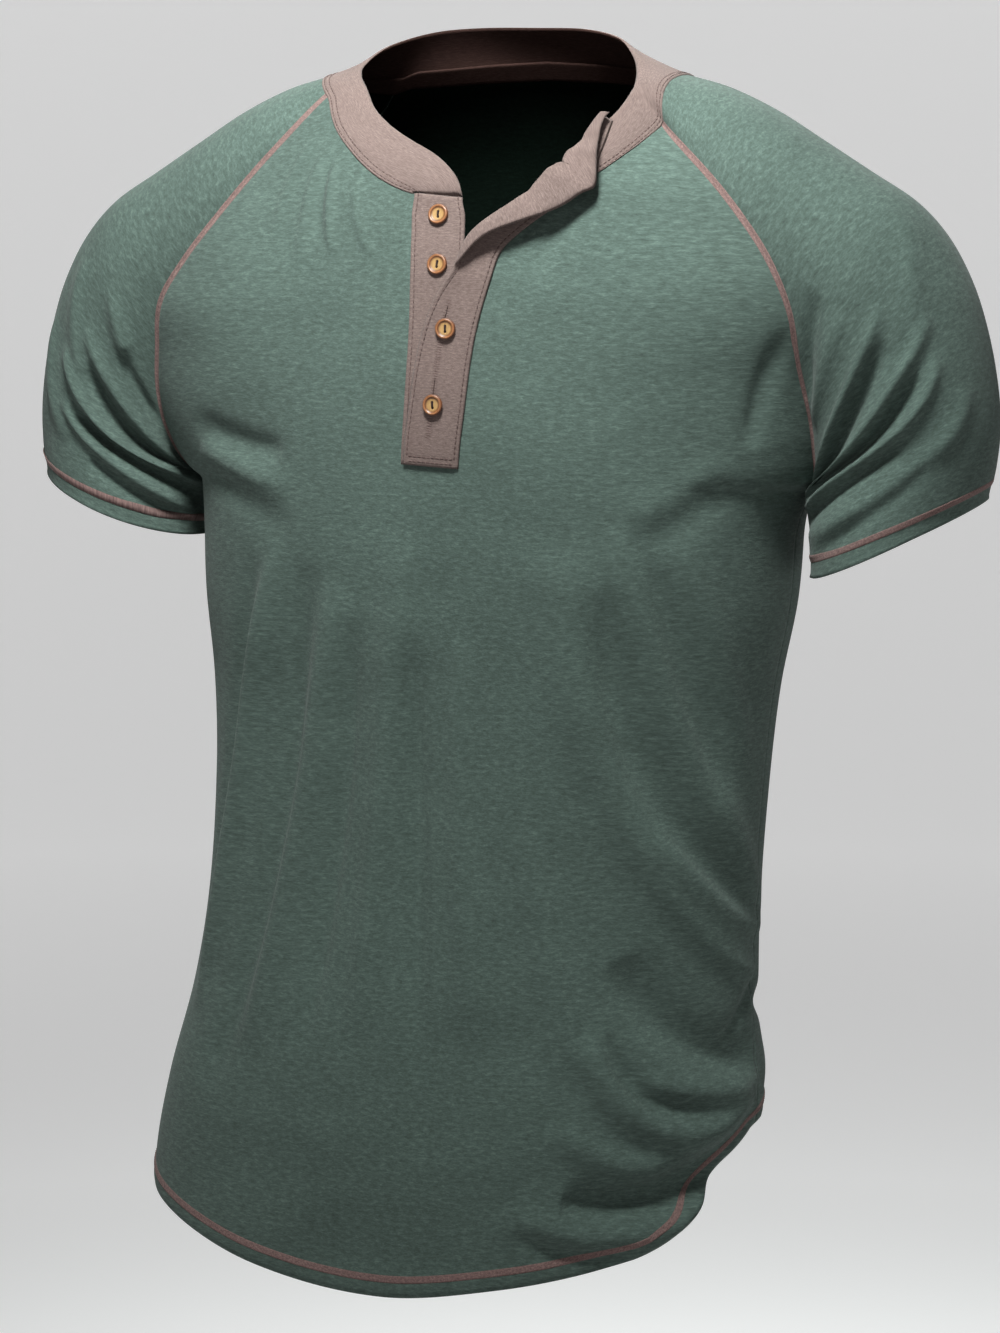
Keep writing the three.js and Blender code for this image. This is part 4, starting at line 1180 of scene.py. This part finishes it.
def coverstitch(name, strip, centre, closed):
    """A band of thread over a strip of cloth points. The strip's rows run along the seam and its
    columns across it. centre is the distance of the band's middle from the middle column."""
    middle = strip.shape[1] // 2
    run = path_run(strip[:, middle])
    at = np.linspace(0, run[-1], max(int(run[-1] / stitch_step), 8) + 1)[:, None]
    numbers = np.arange(len(run))
    row = np.interp(at, run, numbers)
    step = np.linalg.norm(np.diff(strip, axis=1), axis=-1)
    span = np.stack([step[:, :middle].mean(axis=1), step[:, middle:].mean(axis=1)], axis=-1)
    span = read_at(row[:, 0], numbers, span)
    across = np.sin(np.linspace(-np.pi / 2, np.pi / 2, 13)) * 0.6 + np.linspace(-1, 1, 13) * 0.4
    offset = centre + across * stitch_width / 2
    column = middle + np.where(offset < 0, offset / span[:, :1], offset / span[:, 1:])
    base = pick(strip, row, column)
    facing = calm(calm(normals_of(strip), 1).swapaxes(0, 1), 1).swapaxes(0, 1)
    facing = unit(pick(facing, row, column))
    threads = thread_relief(across, at / run[-1] * round(run[-1] / stitch_pitch))
    height = stitch_crown * (1 - across ** 4) - stitch_bed + threads * (1 - across ** 8)
    points = base + facing * height[..., None]
    under = base[:, [-1, 0]] - facing[:, [-1, 0]] * 0.35
    ring = np.concatenate([points, under], axis=1)
    around = np.linspace(0, 0.012, ring.shape[1])[None, :] + 0 * row
    uv = np.stack([np.broadcast_to(at, around.shape) * MM, around], axis=-1)
    if closed:
        ring[-1] = ring[0]
    piece = make_piece(name, ring, quads(ring, closed=True), uv, (thread,))
    if not closed:
        caps = bmesh.new()
        caps.from_mesh(piece.data)
        bmesh.ops.holes_fill(caps, edges=[edge for edge in caps.edges if edge.is_boundary])
        caps.to_mesh(piece.data)
        caps.free()
    keep(piece)
    print(name, round(run[-1]), "mm,", len(piece.data.polygons), "faces")


# %% Coverstitch on the raglan seams
near_columns = 6


def seam_strip(panel_grid, panel_side, sleeve_side, sleeve_seam):
    """Cloth points either side of a raglan seam, from the armpit to the neck, with the panel and
    the sleeve in the order that faces outwards."""
    panel = panel_grid[skirt_rows:] if panel_side == 0 else panel_grid[skirt_rows:, ::-1]
    sleeve = sleeves[sleeve_side][:yoke_rows + 1][::-1]
    sleeve = sleeve[:, ::-1] if sleeve_seam == "front" else sleeve
    strip = np.concatenate([sleeve[:, near_columns - 1:0:-1], panel[:, :near_columns]], axis=1)
    return strip if panel_side == 0 else strip[:, ::-1]


for name, panel_grid, panel_side, side, seam in (
    ("front_right", front_grid, 0, -1, "front"),
    ("front_left", front_grid, 1, 1, "front"),
    ("back_left", back_grid, 0, 1, "back"),
    ("back_right", back_grid, 1, -1, "back"),
):
    strip = seam_strip(panel_grid, panel_side, side, seam)[1:]
    coverstitch(f"raglan_stitch_{name}", strip, 0, False)

# %% Coverstitch on the hems
hem_rows, below_fold = 9, 0.3
hem_rings = {
    "body": np.concatenate([front_grid[:hem_rows], back_grid[:hem_rows, 1:]], axis=1),
    "left": sleeves[1][:-hem_rows - 1:-1, ::-1],
    "right": sleeves[-1][:-hem_rows - 1:-1, ::-1],
}
for name, ring in hem_rings.items():
    strip = ring.swapaxes(0, 1)[:, ::-1]
    middle = strip.shape[1] // 2
    edge = np.linalg.norm(np.diff(strip[:, middle:], axis=1), axis=-1).sum(axis=1).mean()
    coverstitch(f"hem_stitch_{name}", strip, edge - hem_depth + below_fold, True)

# %% [markdown]
# ## Topstitching
# Lockstitch shows as short threads laid end to end. One small spindle is copied along a path as a
# whole array: each copy is turned to the path and lies in a shallow groove of the band. The paths
# are lines of the band's own grids, so the stitches follow every roll and fold.


# %% Topstitching helpers
def spindle(rings=5, sides=6):
    """A closed spindle of length, width and height one. Its rings' radius is a half circle's."""
    along = np.cos(np.linspace(0, np.pi, rings + 2)[1:-1])
    around = np.linspace(0, 2 * np.pi, sides, endpoint=False)
    radius = np.sqrt(1 - along ** 2)[:, None]
    ring = [along[:, None] + 0 * around, radius * np.cos(around), radius * np.sin(around)]
    points = np.concatenate([np.stack(ring, axis=-1).reshape(-1, 3), [[1, 0, 0], [-1, 0, 0]]]) / 2
    i, j = np.meshgrid(np.arange(rings - 1), np.arange(sides), indexing="ij")
    k = (j + 1) % sides
    wall = np.stack([i * sides + j, (i + 1) * sides + j, (i + 1) * sides + k, i * sides + k], axis=-1)
    turn = np.arange(sides)
    next_turn = (turn + 1) % sides
    first = np.stack([np.full(sides, rings * sides), turn, next_turn], axis=-1)
    last = np.stack([np.full(sides, rings * sides + 1), (rings - 1) * sides + next_turn,
                     (rings - 1) * sides + turn], axis=-1)
    return points, wall.reshape(-1, 4), np.concatenate([first, last])


def spindles(name, middles, lengthways, outward, size, material):
    """Copies of the spindle as one mesh: length, width and height by the size, each turned to its
    own directions."""
    points, squares, ends = spindle()
    lengthways = unit(lengthways)
    sideways = unit(np.cross(outward, lengthways))
    upward = np.cross(lengthways, sideways)
    axes = np.stack([lengthways * size[0], sideways * size[1], upward * size[2]], axis=1)
    copies = middles[:, None] + np.einsum("pk,nkd->npd", points, axes)
    shift = np.arange(len(middles))[:, None, None] * len(points)
    faces = [*(squares + shift).reshape(-1, 4).tolist(), *(ends + shift).reshape(-1, 3).tolist()]
    uv = np.stack([copies[..., 0] + copies[..., 1], copies[..., 2]], axis=-1) * MM
    keep(make_piece(name, copies, faces, uv, (material,), merge=False))
    print(name, len(middles), "stitches")


def stitch_line(grid, facing, distance, axis, end):
    """The line of a grid at a distance from one of its edges. On every row its place is blended
    from the two nearest points, and its facing is that of the one nearer the edge."""
    runs = run_from_edges(grid)[axis][end]
    if axis == 0:
        grid, facing, runs = grid.swapaxes(0, 1), facing.swapaxes(0, 1), runs.T
    if end == 1:
        grid, facing, runs = grid[:, ::-1], facing[:, ::-1], runs[:, ::-1]
    k = np.clip((runs < distance).sum(axis=1) - 1, 0, runs.shape[1] - 2)
    n = np.arange(len(k))
    share = (distance - runs[n, k]) / np.maximum(runs[n, k + 1] - runs[n, k], 1e-6)
    return mix(grid[n, k], grid[n, k + 1], share[:, None]), facing[n, k]


# %% Topstitching on the bands
stitch_length, stitch_gap, stitch_sink = 2.3, 0.7, 0.05
for name, grid in (("collar", collar_grid), ("stand", stand_grid), ("strip", strip_grid)):
    middles, ways, outs = [], [], []
    for distance, axis, end, before, after in stitching[name]:
        line, out = stitch_line(grid, normals_of(grid), distance, axis, end)
        sewn = slice(before, len(line) - after)
        _, spots, out = even(line[sewn], stitch_length + stitch_gap, out[sewn])
        middles.append((spots[1:] + spots[:-1]) / 2)
        ways.append(spots[1:] - spots[:-1])
        outs.append(unit(out[1:] + out[:-1]))
    middles, ways, outs = (np.concatenate(found) for found in (middles, ways, outs))
    size = (stitch_length, 0.7, 0.6)
    spindles(f"topstitch_{name}", middles - outs * stitch_sink, ways, outs, size, top_thread)

# %% [markdown]
# ## Buttonholes
# The buttonholes lie one under another along the strip's middle, worked in dense short stitches.
# They run into each other as one ladder of bars. Two slits open in it above the two buttons
# that are in use, drawn in dark thread as painted shade in the openings.

# %% Buttonholes
strip_height = strip_grid[..., 2].mean(axis=1)
strip_face = normals_of(strip_grid)
hole_across, bar_step, slit_step = 19.5, 1.35, 0.8
bar_size, slit_size = (4.6, 0.62, 0.5), (1.3, 0.5, 0.4)


def strip_spot(level, across):
    """Place and facing on the strip at levels and at distances from its sewn edge."""
    level, across = np.broadcast_arrays(level, across)
    rows = np.interp(level, strip_height, np.arange(len(strip_height)))
    runs = run_from_edges(strip_grid)[1][1][np.round(rows).astype(int)]
    columns = np.array([np.interp(-a, -run, np.arange(len(run))) for a, run in zip(across, runs)])
    return pick(strip_grid, rows, columns), unit(pick(strip_face, rows, columns))


bar_level = np.arange(-206, -128, bar_step)
bars, bars_out = strip_spot(bar_level, hole_across + 0.25 * np.sin(bar_level * 1.7))
bars_along = np.cross(bars_out, unit(np.gradient(bars, axis=0)))
spindles("buttonhole_bars", bars - bars_out * 0.1, bars_along, bars_out, bar_size, top_thread)
# The slits are dark spindles on the strip: painted shade in the buttonhole openings.
slit_level = np.concatenate([np.arange(-182, -172, slit_step), np.arange(-139.5, -132, slit_step)])
slits, slits_out = strip_spot(slit_level, hole_across)
slits_along = unit(np.gradient(slits, axis=0))
spindles("buttonhole_slits_painted_shade", slits + slits_out * 0.12, slits_along, slits_out, slit_size, dark_thread_and_slit_shade)

# %% [markdown]
# ## Buttons
# Each button is turned wood: a rounded rim round a shallow dish with two holes. Half its outline
# is a smooth table of height by distance from the axis, and the outline is turned about the axis.
# The holes are cut with the Boolean modifier, which is then applied. The CAD model's buttons say
# where each one lies and which way it faces.

# %% Button shape
button_radius, button_thickness, hole_radius, hole_spacing = 6.0, 2.6, 0.85, 3.0
outline = table("step out up", [
    (0, 0.0, 0.10), (1, 0.55, 0.03), (2, 0.85, 0.08), (3, 0.97, 0.28), (4, 1.0, 0.55),
    (5, 0.975, 0.82), (6, 0.90, 0.98), (7, 0.81, 1.0), (8, 0.73, 0.90), (9, 0.65, 0.76),
    (10, 0.50, 0.69), (11, 0.25, 0.655), (12, 0.0, 0.64),
])


def lathe(name, out, up, sides, middle=0.0):
    """A half outline turned about an upright axis at Y = middle, closed at both poles, with its
    distance from the axis as one map coordinate and the turn as the other."""
    turn = np.linspace(0, 2 * np.pi, sides + 1)
    x, y = out[:, None] * np.cos(turn), out[:, None] * np.sin(turn)
    uv = [out[:, None] / out.max() + 0 * turn, turn / (2 * np.pi) + 0 * out[:, None]]
    grid = np.stack([x, y + middle, up[:, None] + 0 * turn], axis=-1)
    return make_piece(name, grid, quads(grid), np.stack(uv, axis=-1))


def drilled(disc, cutters):
    """A new mesh of the disc with the cutters' shapes taken out. Disc and cutters are removed."""
    for cutter in cutters:
        cut = disc.modifiers.new(cutter.name, "BOOLEAN")
        cut.object, cut.operation, cut.solver = cutter, "DIFFERENCE", "EXACT"
    ready = disc.evaluated_get(bpy.context.evaluated_depsgraph_get())
    mesh = bpy.data.meshes.new_from_object(ready)
    for used in (disc, *cutters):
        bpy.data.objects.remove(used)
    return mesh


steps = np.linspace(0, 12, 49)
disc_out, disc_up = follow(outline, "out", steps), follow(outline, "up", steps)
blank = lathe("button_blank", disc_out * button_radius, disc_up * button_thickness, 64)
peg_out = np.array([0, 1.1, 1.0, 1.0, 1.1, 0]) * hole_radius
peg_up = np.array([-1, -1, 0, 3.0, 4.0, 4.0])
pegs = [lathe(f"peg_{end}", peg_out, peg_up, 20, end * hole_spacing / 2) for end in (-1, 1)]
button_mesh = drilled(blank, pegs)
print("button", len(button_mesh.polygons), "faces")

# %% Wood
wood, tree, shader = new_material("turned_wood", 0.38, 0.0, 0.5)
cloth_map = add_node(tree, "ShaderNodeUVMap", uv_map="cloth")
split = add_node(tree, "ShaderNodeSeparateXYZ")
tree.links.new(cloth_map.outputs["UV"], split.inputs["Vector"])
rings = ramp(
    tree, split.outputs["X"], (0.0, srgb(160, 128, 82)), (0.50, srgb(152, 118, 74)),
    (0.68, srgb(96, 58, 34)), (0.80, srgb(140, 92, 56)), (0.97, srgb(98, 58, 36)),
)
place = add_node(tree, "ShaderNodeTexCoord")
mapping = add_node(tree, "ShaderNodeMapping", Scale=(2600, 600, 260))
grain = add_node(tree, "ShaderNodeTexNoise", Scale=1.0, Detail=3.0, Distortion=0.8)
tree.links.new(place.outputs["Object"], mapping.inputs["Vector"])
tree.links.new(mapping.outputs["Vector"], grain.inputs["Vector"])
grain_shade = ramp(tree, grain.outputs["Fac"], (0.35, grey(0.36)), (0.65, grey(0.60)))
tree.links.new(blend(tree, "OVERLAY", 0.7, rings, grain_shade), shader.inputs["Base Color"])
bump(tree, shader, grain.outputs["Fac"], 0.3, 0.0001)
print(wood.name, "with", len(tree.nodes), "nodes")

# %% Buttons in place
button_leans = np.radians([4, -3, 2, 5])
strand_size, strand_across = (2.6, 0.75, 0.7), 0.3
strand_rows = [(0, 1.9, 0), (-1.2, 1.65, 0.5), (1.2, 1.65, -0.5)]
strands = np.array([(x, y, z) for x in (-strand_across, strand_across) for y, z, _ in strand_rows])
strand_ways = np.array([(0, 1, slope) for _, _, slope in strand_rows] * 2)


def coordinates(mesh):
    """Points of a mesh in millimetres."""
    points = np.zeros(len(mesh.vertices) * 3)
    mesh.vertices.foreach_get("co", points)
    return points.reshape(-1, 3) / MM


for k, lean in enumerate(button_leans, start=1):
    solid = coordinates(bpy.data.objects[f"button_{k}"].data)
    middle = solid.mean(axis=0)
    axis = np.linalg.svd(solid - middle)[2][2]
    axis = axis * (1 if axis[1] < 0 else -1)
    base = middle + axis * ((solid - middle) @ axis).min()
    across = unit(np.cross([0, 0, 1.0], axis))
    upright = np.cross(axis, across)
    leaned = across * np.cos(lean) + upright * np.sin(lean)
    axes = np.array([leaned, upright * np.cos(lean) - across * np.sin(lean), axis])
    mesh = button_mesh.copy()
    mesh.vertices.foreach_set("co", ((base + coordinates(mesh) @ axes) * MM).ravel())
    mesh.materials.clear()
    mesh.materials.append(wood)
    mesh.shade_smooth()
    keep(add_object(f"wood_button_{k}", mesh), f"button_{k}")
    outs = np.tile(axis, (len(strands), 1))
    middles, ways = base + strands @ axes, strand_ways @ axes
    spindles(f"button_thread_{k}", middles, ways, outs, strand_size, dark_thread_and_slit_shade)
print("buttons placed")
